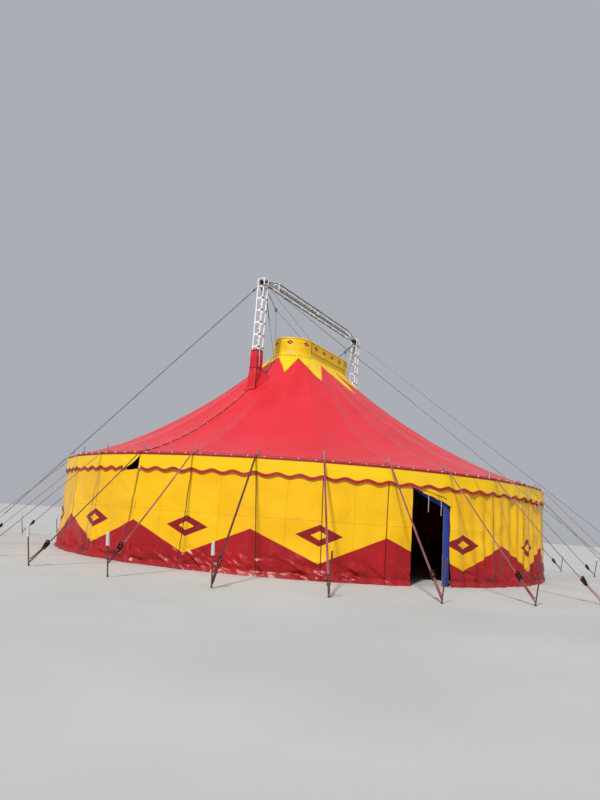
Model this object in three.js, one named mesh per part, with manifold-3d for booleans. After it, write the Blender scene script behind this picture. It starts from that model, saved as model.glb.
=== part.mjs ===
// Round circus big top with two lattice masts, a ridge truss between them and a hung cupola.
// Millimetres, +Z up, origin on the ground at the middle of the tent.
// The ridge runs along X. The side poles are numbered from the -X end, counter-clockwise from above.

import * as THREE from 'three';
import { mergeVertices } from 'three/addons/utils/BufferGeometryUtils.js';
import Module from 'manifold-3d';

const wasm = await Module();
wasm.setup();

// Driving dimensions of the plan
const BAYS = 32;
const BAY_ANGLE = (2 * Math.PI) / BAYS;
const BAYS_PER_PANEL = 4;
const BAYS_PER_QUARTER = 8;
const GAP = 0.3;
const EDGE_TRIM = 1e-4; // bays left free at each side where one piece ends and the next begins
const REACH = 3000; // more than any cut has to reach

// Roof: outer surface from the cupola ring down to the eave
const EAVE_RADIUS = 10000;
const EAVE_HEIGHT = 3320;
const RING_HALF_LENGTH = 1664;
const RING_RADIUS = 860;
const RING_HEIGHT = 8580;
const ROOF_THICKNESS = 16;
const ROOF_CURVE_SHARE = 0.62;
const ROOF_CURVE_POWER = 1.74;
const ROOF_STEPS = [0, 0.06, 0.14, 0.24, 0.38, 0.55, 0.76, 1];

// Yellow collar sewn round the cupola: its zigzag edge in one quarter, as bays and shares of the roof
const COLLAR_NOTCH = 0.035;
const COLLAR_EDGE = [
  [0, COLLAR_NOTCH],
  [1.333, 0.155],
  [2.03, COLLAR_NOTCH],
  [4, 0.19],
  [5.33, COLLAR_NOTCH],
  [6.667, 0.22],
  [BAYS_PER_QUARTER, COLLAR_NOTCH],
];
const COLLAR_THICKNESS = 8;
const COLLAR_LIP_ROOT = 20;
const COLLAR_LIP_CLEAR = 5;

// Side wall and valance
const WALL_RADIUS = 9940;
const WALL_THICKNESS = 20;
const WALL_HEIGHT = 3210;
const PANELS = BAYS / BAYS_PER_PANEL;
const VALANCE_RADIUS = 9999.5;
const VALANCE_THICKNESS = 12;
const VALANCE_DROP = 500;

// Entrance: the slanted edge of cloth over it, as bays and heights, and the curtain inside it
const DOOR_EDGE = [[4.4, 2780], [4.73, 2600], [5, 2400], [5.08, 2320]];
const DOOR_START = DOOR_EDGE[0][0];
const DOOR_END = DOOR_EDGE[3][0];
const CURTAIN_RADIUS = 9868;
const CURTAIN_DROP = 395;
const CURTAIN_STRIP_START = 5;
const CURTAIN_SLANT = 0.004;
const CURTAIN_THICKNESS = 12;
const CURTAIN_OVERLAP = 0.2;
const CURTAIN_END = 5.11;
const CURTAIN_FOOT = 20;

// Side poles and the rail that the wall hangs on
const POLE_RADIUS = 9825;
const POLE_DIAMETER = 60;
const SPIKE_DIAMETER = 24;
const SPIKE_ABOVE_ROOF = 200;
const SPIKE_ROOT = 60;
const EYELET_DIAMETER = 34;
const RAIL_INNER = 9835;
const RAIL_LOW = 3180;
const RAIL_HIGH = 3205;

// Guys and stakes
const STAKE_RADIUS = 13280;
const STAKE_HEIGHT = 1000;
const STAKE_DIAMETER = 34;
const STAKE_LEAN = 200;
const GUY_WIDTH = 50;
const GUY_THICKNESS = 8;
const GUY_START = 9842;
const GUY_EDGE = 10030;
const GUY_LOW_END = 90;
const GUY_TIED_HIGH = { 1: 320 };
const GUY_OVER_EDGE = 1;
const BELT_INNER = 9842;
const BELT_OUTER = 9902;
const BELT_THICKNESS = 8;

// Masts
const MAST_X = 4400;
const MAST_WIDTH = 330;
const MAST_TOP = 10900;
const CHORD = 50;
const RUNG = 32;
const RUNG_PITCH = 520;
const FOOT_PLATE = 620;
const FOOT_PLATE_HEIGHT = 20;
const HEAD_HEIGHT = 330;
const HEAD_WIDTH = 300;
const HEAD_PLATE = 20;
const HEAD_PIN = 40;
const SHEAVE_RADIUS = 90;
const SHEAVE_WIDTH = 60;
const TIP_DIAMETER = 36;
const TIP_HEIGHT = 110;

// Ridge truss
const TRUSS_WIDTH = 310;
const TRUSS_LOW = 11090;
const TRUSS_HIGH = 11400;
const TRUSS_END = 3450;
const TRUSS_FRAMES = 5;
const TRUSS_CHORD = 44;
const TRUSS_BAR = 28;
const TRUSS_NOSE_LOW = 11080;
const TRUSS_NOSE_HIGH = 11200;
const TRUSS_NOSE_REACH = 50;
const TRUSS_NOSE_LENGTH = 140;
const TRUSS_NOSE_TAPER = 0.4;
const TRUSS_NOSE_SPREAD = 36;
const TRUSS_NOSE_ROOT = 40;

// Mast sleeves
const SLEEVE_TOP = 8180;
const SLEEVE_BASE_HALF = 200;
const SLEEVE_THICKNESS = 14;
const SLEEVE_HEIGHT = 1900;
const SLEEVE_FLARE = 10;
const SLEEVE_FLARE_HEIGHT = 480;
const SLEEVE_NECK = 25;
const SLEEVE_NECK_LENGTH = 420;
const GUSSET_START = 30;
const GUSSET_TOP = 480;
const GUSSET_REACH = 900;
const GUSSET_EDGE = 760;
const GUSSET_EDGE_DROP = 1120;
const MAST_HOLE = 360;

// Cupola
const CUPOLA_TOP = 9270;
const CUPOLA_TUBE = 60;
const CUPOLA_SKIN = 12;
const CUPOLA_RISE = 110;
const CUPOLA_SIDE_LOW = 8790;
const COVER_INSET = 33;
const COVER_SHOULDER = 0.7;
const CUPOLA_INSET = 1;
const CUPOLA_POST = 40;
const CUPOLA_SKIN_OUT = GAP + CUPOLA_SKIN - CUPOLA_INSET;
const CUPOLA_END_BAYS = 3.7;
const CUPOLA_SIDE_START = 3.85;

// Mast stays and cupola hoists
const STAY_ANCHOR_RADIUS = 15000;
const STAY_ANGLE = (67 * Math.PI) / 180;
const STAY_DIAMETER = 16;
const STAY_TOP = 10990;
const ANCHOR_HEIGHT = 620;
const ANCHOR_DIAMETER = 48;
const ANCHOR_LEAN = 0.003;
const STAY_LOW_END = 120;
const STAY_LUG = { width: 90, depth: 40, height: 90 };
const TURNBUCKLE = { from: 0.93, to: 0.965, diameter: 46 };
const HOIST_BLOCK = { x: 3310, z: 10270 };
const HOIST_DIAMETER = 14;
const HOIST_LUG = 22;
const HOIST_LUG_HEIGHT = 50;
const HOIST_LUG_INSET = 16;
const HOIST_PLATE = { width: 20, depth: 80, height: 80 };
const HOIST_PULLEY = { width: 120, depth: 70, height: 150 };

// Surfaces
const surface = {
  roof: { color: 0xd81f2c, roughness: 0.45, metalness: 0 },
  yellow: { color: 0xf2b705, roughness: 0.4, metalness: 0 },
  blue: { color: 0x1c3fae, roughness: 0.8, metalness: 0 },
  webbing: { color: 0x8a3038, roughness: 0.85, metalness: 0 },
  aluminium: { color: 0xd5d8dc, roughness: 0.35, metalness: 1 },
  truss: { color: 0x6d7178, roughness: 0.4, metalness: 1 },
  steel: { color: 0x7f8388, roughness: 0.5, metalness: 1 },
  wire: { color: 0x55585c, roughness: 0.45, metalness: 1 },
};

const tent = new THREE.Group();

function addPiece(name, geometry, finish) {
  const mesh = new THREE.Mesh(geometry, new THREE.MeshStandardMaterial(surface[finish]));
  mesh.name = name;
  tent.add(mesh);
  return mesh;
}

// Solids and cuts

function solidOf(geometry) {
  const bare = geometry.index ? geometry.toNonIndexed() : geometry.clone();
  bare.deleteAttribute('normal');
  bare.deleteAttribute('uv');
  const welded = mergeVertices(bare, 1e-3);
  const mesh = new wasm.Mesh({
    numProp: 3,
    vertProperties: new Float32Array(welded.attributes.position.array),
    triVerts: new Uint32Array(welded.index.array),
  });
  return new wasm.Manifold(mesh);
}

function geometryOf(solid) {
  const mesh = solid.getMesh();
  const geometry = new THREE.BufferGeometry();
  geometry.setAttribute('position', new THREE.BufferAttribute(mesh.vertProperties, 3));
  geometry.setIndex(new THREE.BufferAttribute(mesh.triVerts, 1));
  geometry.computeVertexNormals();
  return geometry;
}

function joined(geometries) {
  return geometries.map(solidOf).reduce((whole, next) => whole.add(next));
}

// A closed sheet between two grids of points, both given as rows of columns.
// Where the rows go all round the tent, the last row meets the first.
function sheet(top, bottom, allRound = false) {
  const rows = top.length;
  const columns = top[0].length;
  const points = [...top.flat(), ...bottom.flat()];
  const offset = rows * columns;
  const faces = [];
  const quad = (a, b, c, d) => faces.push(a, b, c, a, c, d);
  const lastRow = allRound ? rows : rows - 1;
  for (let i = 0; i < lastRow; i += 1) {
    const here = i * columns;
    const next = ((i + 1) % rows) * columns;
    for (let j = 0; j < columns - 1; j += 1) {
      quad(here + j, next + j, next + j + 1, here + j + 1);
      quad(offset + here + j, offset + here + j + 1, offset + next + j + 1, offset + next + j);
    }
    const end = columns - 1;
    quad(here, offset + here, offset + next, next);
    quad(here + end, next + end, offset + next + end, offset + here + end);
  }
  if (!allRound) {
    const last = (rows - 1) * columns;
    for (let j = 0; j < columns - 1; j += 1) {
      quad(j, j + 1, offset + j + 1, offset + j);
      quad(last + j, offset + last + j, offset + last + j + 1, last + j + 1);
    }
  }
  return facingOut(points, faces);
}

function facingOut(points, faces) {
  let volume = 0;
  for (let f = 0; f < faces.length; f += 3) {
    const [a, b, c] = [points[faces[f]], points[faces[f + 1]], points[faces[f + 2]]];
    volume += a.dot(new THREE.Vector3().crossVectors(b, c));
  }
  const index = volume > 0 ? faces : faces.map((_, i) => faces[i - (i % 3) + 2 - (i % 3)]);
  const geometry = new THREE.BufferGeometry().setFromPoints(points);
  geometry.setIndex(index);
  geometry.computeVertexNormals();
  return geometry;
}

// A straight bar of few sides from one point to another
function bar(from, to, width, sides = 4) {
  const length = from.distanceTo(to);
  const radius = width / 2 / Math.cos(Math.PI / sides);
  const geometry = new THREE.CylinderGeometry(radius, radius, length, sides, 1);
  geometry.rotateY(Math.PI / sides);
  const along = new THREE.Vector3().subVectors(to, from).normalize();
  const turn = new THREE.Quaternion().setFromUnitVectors(new THREE.Vector3(0, 1, 0), along);
  geometry.applyQuaternion(turn);
  geometry.translate(...new THREE.Vector3().addVectors(from, to).multiplyScalar(0.5).toArray());
  return geometry;
}

function block(x, y, z, width, depth, height) {
  return new THREE.BoxGeometry(width, depth, height).translate(x, y, z);
}

const at = (x, y, z) => new THREE.Vector3(x, y, z);

// Places round the tent, by bay number: 0 is the pole at the -X end, whole numbers are poles

const bayAngle = (bay) => Math.PI + bay * BAY_ANGLE;

function poleLine(bay, radius, z) {
  return at(radius * Math.cos(bayAngle(bay)), radius * Math.sin(bayAngle(bay)), z);
}

// Between two poles the cloth runs straight, so a place there lies on the chord
function onChord(bay, radius, z) {
  const before = Math.floor(bay);
  const share = bay - before;
  return poleLine(before, radius, z).lerp(poleLine(before + 1, radius, z), share);
}

// The cupola ring: a round-ended oval, divided in equal lengths by the roof seams
function ringPoint(bay, outward = 0) {
  const quarterArc = (RING_RADIUS * Math.PI) / 2;
  const turn = ((bay % BAYS) + BAYS) % BAYS;
  const quarter = Math.floor(turn / BAYS_PER_QUARTER);
  const share = (turn % BAYS_PER_QUARTER) / BAYS_PER_QUARTER;
  const fromEnd = (quarter % 2 === 0 ? share : 1 - share) * (quarterArc + RING_HALF_LENGTH);
  const radius = RING_RADIUS + outward;
  const onArc = fromEnd < quarterArc;
  const swing = onArc ? fromEnd / RING_RADIUS : Math.PI / 2;
  const pastArc = onArc ? 0 : fromEnd - quarterArc;
  const x = RING_HALF_LENGTH + radius * Math.cos(swing) - pastArc;
  const y = radius * Math.sin(swing);
  const signX = quarter === 1 || quarter === 2 ? 1 : -1;
  const signY = quarter >= 2 ? 1 : -1;
  return at(signX * x, signY * y, RING_HEIGHT);
}

// The roof's outer surface, from the ring (share 0) to the eave (share 1)
function roofPoint(bay, share, raise = 0) {
  const inner = ringPoint(bay);
  const outer = poleLine(bay, EAVE_RADIUS, EAVE_HEIGHT);
  const rest = 1 - share;
  const bend = ROOF_CURVE_SHARE * rest ** ROOF_CURVE_POWER + (1 - ROOF_CURVE_SHARE) * rest;
  const point = inner.clone().lerp(outer, share);
  point.z = EAVE_HEIGHT + (RING_HEIGHT - EAVE_HEIGHT) * bend + raise;
  return point;
}

// Height of the roof near the eave, on the line of the given pole
const EAVE_STEPS = ROOF_STEPS.slice(-2);

function eaveStripHeight(bay, radius) {
  const [inner, outer] = EAVE_STEPS.map((share) => roofPoint(bay, share));
  const along = poleLine(bay, 1, 0);
  const innerRadius = inner.x * along.x + inner.y * along.y;
  const share = (radius - innerRadius) / (EAVE_RADIUS - innerRadius);
  return inner.z + (outer.z - inner.z) * share;
}

// Part of the roof as a sheet, lying between two heights over the outer surface
function roofSheet(fromBay, toBay, steps, upper, lower, sideGap = 0) {
  const allRound = toBay - fromBay >= BAYS;
  const count = allRound ? BAYS : toBay - fromBay + 1;
  const side = (bay, i) => {
    if (allRound || (i > 0 && i < count - 1)) return at(0, 0, 0);
    const push = i === 0 ? sideGap : -sideGap;
    return at(-Math.sin(bayAngle(bay)) * push, Math.cos(bayAngle(bay)) * push, 0);
  };
  const grid = (raise) => Array.from({ length: count }, (_, i) => {
    const bay = fromBay + i;
    return steps.map((share) => roofPoint(bay, share, raise).add(side(bay, i)));
  });
  return sheet(grid(upper), grid(lower), allRound);
}

// Openings in the roof: an eyelet at each pole and a square hole at each mast
function eyelets(bays) {
  return joined(bays.map((bay) => {
    const low = poleLine(bay, POLE_RADIUS, EAVE_HEIGHT - REACH);
    const high = poleLine(bay, POLE_RADIUS, EAVE_HEIGHT + REACH);
    return bar(low, high, EYELET_DIAMETER);
  }));
}

function mastHole(x) {
  return solidOf(block(x, 0, SLEEVE_TOP - SLEEVE_HEIGHT, MAST_HOLE, MAST_HOLE, REACH));
}

function addRoof() {
  for (let panel = 0; panel < PANELS; panel += 1) {
    const from = panel * BAYS_PER_PANEL;
    const to = from + BAYS_PER_PANEL;
    const blank = solidOf(roofSheet(from, to, ROOF_STEPS, 0, -ROOF_THICKNESS, GAP / 2));
    const poles = Array.from({ length: BAYS_PER_PANEL + 1 }, (_, i) => from + i);
    const cut = blank.subtract(eyelets(poles))
      .subtract(mastHole(-MAST_X))
      .subtract(mastHole(MAST_X));
    addPiece(`roof_panel_${panel + 1}`, geometryOf(cut), 'roof');
  }
}

// The star-shaped outline of the collar, cut from a thin layer lying on the roof
function addCollar() {
  const halfTurn = BAYS / 2;
  const backwards = COLLAR_EDGE.slice(1, -1).reverse();
  const oneSide = [...COLLAR_EDGE, ...backwards.map(([bay, share]) => [halfTurn - bay, share])];
  const otherSide = oneSide.map(([bay, share]) => [halfTurn + bay, share]);
  const outline = [...oneSide, ...otherSide].map(([bay, share]) => roofPoint(bay, share));
  const star = new THREE.Shape(outline.map((p) => new THREE.Vector2(p.x, p.y)));
  const prism = new THREE.ExtrudeGeometry(star, { depth: 2 * REACH, bevelEnabled: false });
  prism.translate(0, 0, RING_HEIGHT - REACH);
  const layer = roofSheet(0, BAYS, ROOF_STEPS.slice(0, 5), GAP + COLLAR_THICKNESS, GAP);
  const flat = solidOf(layer).intersect(solidOf(prism));

  // Along the straight sides of the cupola the collar stands up to the free edge of their cloth
  const lipLow = RING_HEIGHT - COLLAR_LIP_ROOT;
  const lipHigh = CUPOLA_SIDE_LOW - COLLAR_LIP_CLEAR;
  const lips = Object.values(cupolaSides()).map((bays) => (
    ovalSheet(bays, CUPOLA_SKIN_OUT, COLLAR_THICKNESS, lipLow, lipHigh)
  ));
  const under = roofSheet(0, BAYS, ROOF_STEPS, GAP, -REACH);
  const standing = joined(lips).subtract(solidOf(under));
  addPiece('roof_collar', geometryOf(flat.add(standing)), 'yellow');
}

// Valance: a yellow band hung from the eave, straight from pole to pole
function addValance() {
  const top = EAVE_HEIGHT - ROOF_THICKNESS - GAP;
  for (let quarter = 0; quarter < BAYS / BAYS_PER_QUARTER; quarter += 1) {
    const from = quarter * BAYS_PER_QUARTER;
    const face = (radius) => Array.from({ length: BAYS_PER_QUARTER + 1 }, (_, i) => {
      let bay = from + i;
      if (i === 0) bay += EDGE_TRIM;
      if (i === BAYS_PER_QUARTER) bay -= EDGE_TRIM;
      return [onChord(bay, radius, top), onChord(bay, radius, top - VALANCE_DROP)];
    });
    const band = sheet(face(VALANCE_RADIUS), face(VALANCE_RADIUS - VALANCE_THICKNESS));
    addPiece(`valance_${quarter + 1}`, band, 'yellow');
  }
}

// A stretch of bays: its two ends and every pole line between them
function between(from, to) {
  const bays = [from];
  for (let bay = Math.floor(from) + 1; bay < to; bay += 1) bays.push(bay);
  return [...bays, to];
}

// Cloth hung straight from pole to pole; its lower edge is given as bays and heights
function hungSheet(inner, thickness, high, lowEdge) {
  const face = (radius) => lowEdge.map(([bay, low]) => [
    onChord(bay, radius, high),
    onChord(bay, radius, low),
  ]);
  return sheet(face(inner + thickness), face(inner));
}

// Side wall: cloth hung from the rail down to the ground
function addWall() {
  for (let panel = 0; panel < PANELS; panel += 1) {
    let from = panel * BAYS_PER_PANEL;
    let to = from + BAYS_PER_PANEL;
    if (panel === 0) to = DOOR_START;
    if (panel === 1) from = DOOR_END;
    const foot = between(from + EDGE_TRIM, to - EDGE_TRIM).map((bay) => [bay, 0]);
    const cloth = hungSheet(WALL_RADIUS, WALL_THICKNESS, WALL_HEIGHT, foot);
    addPiece(`wall_panel_${panel + 1}`, cloth, 'yellow');
  }
}

// Over the doorway hangs the corner of the panel that is drawn aside; a blue curtain is behind it
function addEntrance() {
  const trim = [EDGE_TRIM, 0, 0, -EDGE_TRIM];
  const flapEdge = DOOR_EDGE.map(([bay, z], i) => [bay + trim[i], z]);
  addPiece('entrance_flap', hungSheet(WALL_RADIUS, WALL_THICKNESS, WALL_HEIGHT, flapEdge), 'yellow');
  const headerLow = RAIL_LOW - CURTAIN_DROP;
  const curtainEdge = [
    [DOOR_START - CURTAIN_OVERLAP, headerLow],
    [CURTAIN_STRIP_START - CURTAIN_SLANT, headerLow],
    [CURTAIN_STRIP_START, CURTAIN_FOOT],
    [CURTAIN_END, CURTAIN_FOOT],
  ];
  const curtain = hungSheet(CURTAIN_RADIUS, CURTAIN_THICKNESS, RAIL_LOW - GAP, curtainEdge);
  addPiece('entrance_curtain', curtain, 'blue');
}

// Side poles with feet and spikes, and the rail that joins them and carries the wall
function addPoles() {
  const cloth = solidOf(roofSheet(0, BAYS, EAVE_STEPS, REACH, -ROOF_THICKNESS - GAP));
  const railOuter = WALL_RADIUS - GAP;
  for (let quarter = 0; quarter < BAYS / BAYS_PER_QUARTER; quarter += 1) {
    const first = quarter * BAYS_PER_QUARTER;
    const railEnd = first + BAYS_PER_QUARTER - 0.5 - EDGE_TRIM;
    const railBays = between(first - 0.5 + EDGE_TRIM, railEnd);
    const face = (radius) => railBays.map((bay) => [
      onChord(bay, radius, RAIL_HIGH),
      onChord(bay, radius, RAIL_LOW),
    ]);
    const parts = [sheet(face(railOuter), face(RAIL_INNER))];
    const spikes = [];
    for (let i = 0; i < BAYS_PER_QUARTER; i += 1) {
      const bay = first + i;
      const foot = poleLine(bay, POLE_RADIUS, 0);
      const roofHeight = eaveStripHeight(bay, POLE_RADIUS);
      parts.push(bar(foot, poleLine(bay, POLE_RADIUS, roofHeight), POLE_DIAMETER, 6));
      const spikeFoot = poleLine(bay, POLE_RADIUS, roofHeight - SPIKE_ROOT);
      const spikeTop = poleLine(bay, POLE_RADIUS, roofHeight + SPIKE_ABOVE_ROOF);
      spikes.push(bar(spikeFoot, spikeTop, SPIKE_DIAMETER));
    }
    const poles = joined(parts).subtract(cloth).add(joined(spikes));
    addPiece(`side_poles_${quarter + 1}`, geometryOf(poles), 'steel');
  }
}

// A guy: flat strap from the roof edge to the foot of its stake
function guyParts(bay) {
  const roofAt = (radius) => eaveStripHeight(bay, radius) + GAP;
  const edgeHeight = roofAt(GUY_EDGE) + GUY_OVER_EDGE;
  const lowEnd = GUY_TIED_HIGH[bay] ?? GUY_LOW_END;
  const path = [
    [GUY_START, roofAt(GUY_START)],
    [GUY_EDGE, edgeHeight],
    [STAKE_RADIUS + (STAKE_LEAN * lowEnd) / STAKE_HEIGHT, lowEnd],
  ];
  const out = poleLine(bay, 1, 0);
  const across = at(-out.y, out.x, 0).multiplyScalar(GUY_WIDTH / 2);
  const point = (radius, z, way) => at(out.x * radius, out.y * radius, z).addScaledVector(across, way);
  const grid = (raise) => [-1, 1].map((way) => path.map(([r, z]) => point(r, z + raise, way)));
  const strap = sheet(grid(GUY_THICKNESS), grid(0));

  const foot = poleLine(bay, STAKE_RADIUS, 0);
  const head = poleLine(bay, STAKE_RADIUS + STAKE_LEAN, STAKE_HEIGHT);
  return [strap, groundStake(foot, head, STAKE_DIAMETER)];
}

// A leaning stake whose foot is cut level with the ground
function groundStake(foot, head, diameter) {
  const along = new THREE.Vector3().subVectors(head, foot);
  const below = foot.clone().addScaledVector(along, -0.1);
  const stake = solidOf(bar(below, head, diameter));
  const ground = solidOf(block(foot.x, foot.y, -REACH / 2, REACH, REACH, REACH));
  return geometryOf(stake.subtract(ground));
}

function addGuys() {
  const layer = solidOf(roofSheet(0, BAYS, EAVE_STEPS, GAP + BELT_THICKNESS, GAP));
  for (let panel = 0; panel < PANELS; panel += 1) {
    const first = panel * BAYS_PER_PANEL;
    const beltEnd = first + BAYS_PER_PANEL - 0.5 - EDGE_TRIM;
    const beltBays = between(first - 0.5 + EDGE_TRIM, beltEnd);
    const face = (radius) => beltBays.map((bay) => [
      onChord(bay, radius, EAVE_HEIGHT + REACH),
      onChord(bay, radius, EAVE_HEIGHT - REACH),
    ]);
    const belt = solidOf(sheet(face(BELT_OUTER), face(BELT_INNER))).intersect(layer);
    const guys = [];
    for (let i = 0; i < BAYS_PER_PANEL; i += 1) guys.push(...guyParts(first + i));
    addPiece(`guy_set_${panel + 1}`, geometryOf(joined(guys).add(belt)), 'webbing');
  }
}

// Lattice masts: four corner tubes with square frames of rungs
function addMast(side, name) {
  const x = side * MAST_X;
  const half = (MAST_WIDTH - CHORD) / 2;
  const base = FOOT_PLATE_HEIGHT + GAP;
  const corners = [[-1, -1], [1, -1], [1, 1], [-1, 1]];
  const corner = (i, z) => at(x + corners[i % 4][0] * half, corners[i % 4][1] * half, z);
  const bars = corners.map((_, i) => bar(corner(i, base), corner(i, MAST_TOP), CHORD));
  const levels = Math.floor((MAST_TOP - base - RUNG) / RUNG_PITCH);
  for (let level = 0; level <= levels; level += 1) {
    const z = MAST_TOP - RUNG / 2 - level * RUNG_PITCH;
    if (z < SLEEVE_TOP - RUNG_PITCH && level % 2 === 1) continue;
    corners.forEach((_, i) => bars.push(bar(corner(i, z), corner(i + 1, z), RUNG)));
  }
  addPiece(`mast_${name}`, geometryOf(joined(bars)), 'aluminium');

  const plate = block(x, 0, FOOT_PLATE_HEIGHT / 2, FOOT_PLATE, FOOT_PLATE, FOOT_PLATE_HEIGHT);
  addPiece(`mast_foot_${name}`, plate, 'steel');

  // Head: two plates with cheeks between, a sheave on its pin, and a small eye on top
  const low = MAST_TOP + GAP;
  const high = low + HEAD_HEIGHT;
  const middle = (low + high) / 2;
  const cheekY = HEAD_WIDTH / 2 - HEAD_PLATE / 2;
  const head = [
    block(x, 0, low + HEAD_PLATE / 2, MAST_WIDTH, MAST_WIDTH, HEAD_PLATE),
    block(x, 0, high - HEAD_PLATE / 2, HEAD_WIDTH, HEAD_WIDTH, HEAD_PLATE),
    block(x, -cheekY, middle, HEAD_WIDTH, HEAD_PLATE, HEAD_HEIGHT),
    block(x, cheekY, middle, HEAD_WIDTH, HEAD_PLATE, HEAD_HEIGHT),
    bar(at(x, -HEAD_WIDTH / 2, middle), at(x, HEAD_WIDTH / 2, middle), HEAD_PIN, 6),
    new THREE.CylinderGeometry(SHEAVE_RADIUS, SHEAVE_RADIUS, SHEAVE_WIDTH, 12).translate(x, 0, middle),
    bar(at(x, 0, high - HEAD_PLATE / 2), at(x, 0, high + TIP_HEIGHT), TIP_DIAMETER, 6),
  ];
  addPiece(`mast_head_${name}`, geometryOf(joined(head)), 'steel');
}

// Half of the ridge truss, from the middle joint to the tapered nose at the mast head
function addTruss(side, name) {
  const half = (TRUSS_WIDTH - TRUSS_CHORD) / 2;
  const low = TRUSS_LOW + TRUSS_CHORD / 2;
  const high = TRUSS_HIGH - TRUSS_CHORD / 2;
  const corners = [[-half, low], [half, low], [half, high], [-half, high]];
  const corner = (i, x) => at(side * x, corners[i % 4][0], corners[i % 4][1]);
  const start = GAP / 2;
  const frameStart = start + TRUSS_CHORD / 2;
  const frameEnd = TRUSS_END - TRUSS_CHORD / 2;
  const bars = corners.map((_, i) => bar(corner(i, start), corner(i, TRUSS_END), TRUSS_CHORD));
  for (let f = 0; f <= TRUSS_FRAMES; f += 1) {
    const x = frameStart + ((frameEnd - frameStart) * f) / TRUSS_FRAMES;
    const width = f === 0 || f === TRUSS_FRAMES ? TRUSS_CHORD : TRUSS_BAR;
    corners.forEach((_, i) => bars.push(bar(corner(i, x), corner(i + 1, x), width)));
  }
  // Tapered bars run to a nose block that is pinned between the cheeks of the mast head
  const noseX = MAST_X - HEAD_WIDTH / 2 + TRUSS_NOSE_REACH;
  const noseWidth = HEAD_WIDTH - 2 * (HEAD_PLATE + GAP);
  const noseMiddle = (TRUSS_NOSE_LOW + TRUSS_NOSE_HIGH) / 2;
  const noseHeight = TRUSS_NOSE_HIGH - TRUSS_NOSE_LOW;
  const noseCentre = side * (noseX - TRUSS_NOSE_LENGTH / 2);
  const rootX = side * (noseX - TRUSS_NOSE_LENGTH + TRUSS_NOSE_ROOT);
  corners.forEach(([y, z], i) => {
    const rootZ = noseMiddle + Math.sign(z - noseMiddle) * TRUSS_NOSE_SPREAD;
    bars.push(bar(corner(i, frameEnd), at(rootX, y * TRUSS_NOSE_TAPER, rootZ), TRUSS_BAR));
  });
  bars.push(block(noseCentre, 0, noseMiddle, TRUSS_NOSE_LENGTH, noseWidth, noseHeight));
  addPiece(`ridge_truss_${name}`, geometryOf(joined(bars)), 'truss');
}

// Sleeve: red cloth boot that closes the roof round a mast and is tied tight above
function addSleeve(side, name) {
  const x = side * MAST_X;
  const topHalf = MAST_WIDTH / 2 + GAP;
  const low = SLEEVE_TOP - SLEEVE_HEIGHT;
  const stages = [
    [SLEEVE_BASE_HALF + SLEEVE_FLARE, low],
    [SLEEVE_BASE_HALF, low + SLEEVE_FLARE_HEIGHT],
    [topHalf + SLEEVE_NECK, SLEEVE_TOP - SLEEVE_NECK_LENGTH],
    [topHalf, SLEEVE_TOP],
  ];
  const corners = [[-1, -1], [1, -1], [1, 1], [-1, 1]];
  const level = (grow) => corners.map(([sx, sy]) => stages.map(([halfSize, z]) => (
    at(x + sx * (halfSize + grow), sy * (halfSize + grow), z)
  )));
  const skin = solidOf(sheet(level(SLEEVE_THICKNESS), level(0), true));
  const inward = -side;
  const gusset = new THREE.Shape([
    new THREE.Vector2(inward * (topHalf + GUSSET_START), SLEEVE_TOP - GUSSET_TOP),
    new THREE.Vector2(inward * (topHalf + GUSSET_START), low),
    new THREE.Vector2(inward * GUSSET_REACH, low),
    new THREE.Vector2(inward * GUSSET_EDGE, SLEEVE_TOP - GUSSET_EDGE_DROP),
  ]);
  const fin = new THREE.ExtrudeGeometry(gusset, { depth: SLEEVE_THICKNESS, bevelEnabled: false });
  fin.rotateX(Math.PI / 2).translate(x, SLEEVE_THICKNESS / 2, 0);
  const shaft = solidOf(block(x, 0, low, 2 * topHalf, 2 * topHalf, 2 * REACH));
  const under = roofSheet(0, BAYS, ROOF_STEPS, GAP, -REACH);
  const boot = skin.add(solidOf(fin).subtract(shaft)).subtract(solidOf(under));
  addPiece(`mast_sleeve_${name}`, geometryOf(boot), 'roof');
}

// Cupola: two oval rings on posts, cloth round them and a low domed cover
function ovalSheet(bays, outward, thickness, low, high) {
  const allRound = bays.length >= BAYS;
  const face = (offset) => bays.map((bay) => [low, high].map((z) => {
    const point = ringPoint(bay, offset);
    point.z = z;
    return point;
  }));
  return sheet(face(outward), face(outward - thickness), allRound);
}

const wholeRing = Array.from({ length: BAYS }, (_, i) => i);

// Bays of the straight sides, between the cloth of the two round ends
function cupolaSides() {
  const halfTurn = BAYS / 2;
  return {
    front: between(CUPOLA_SIDE_START, halfTurn - CUPOLA_SIDE_START),
    back: between(halfTurn + CUPOLA_SIDE_START, BAYS - CUPOLA_SIDE_START),
  };
}

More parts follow.
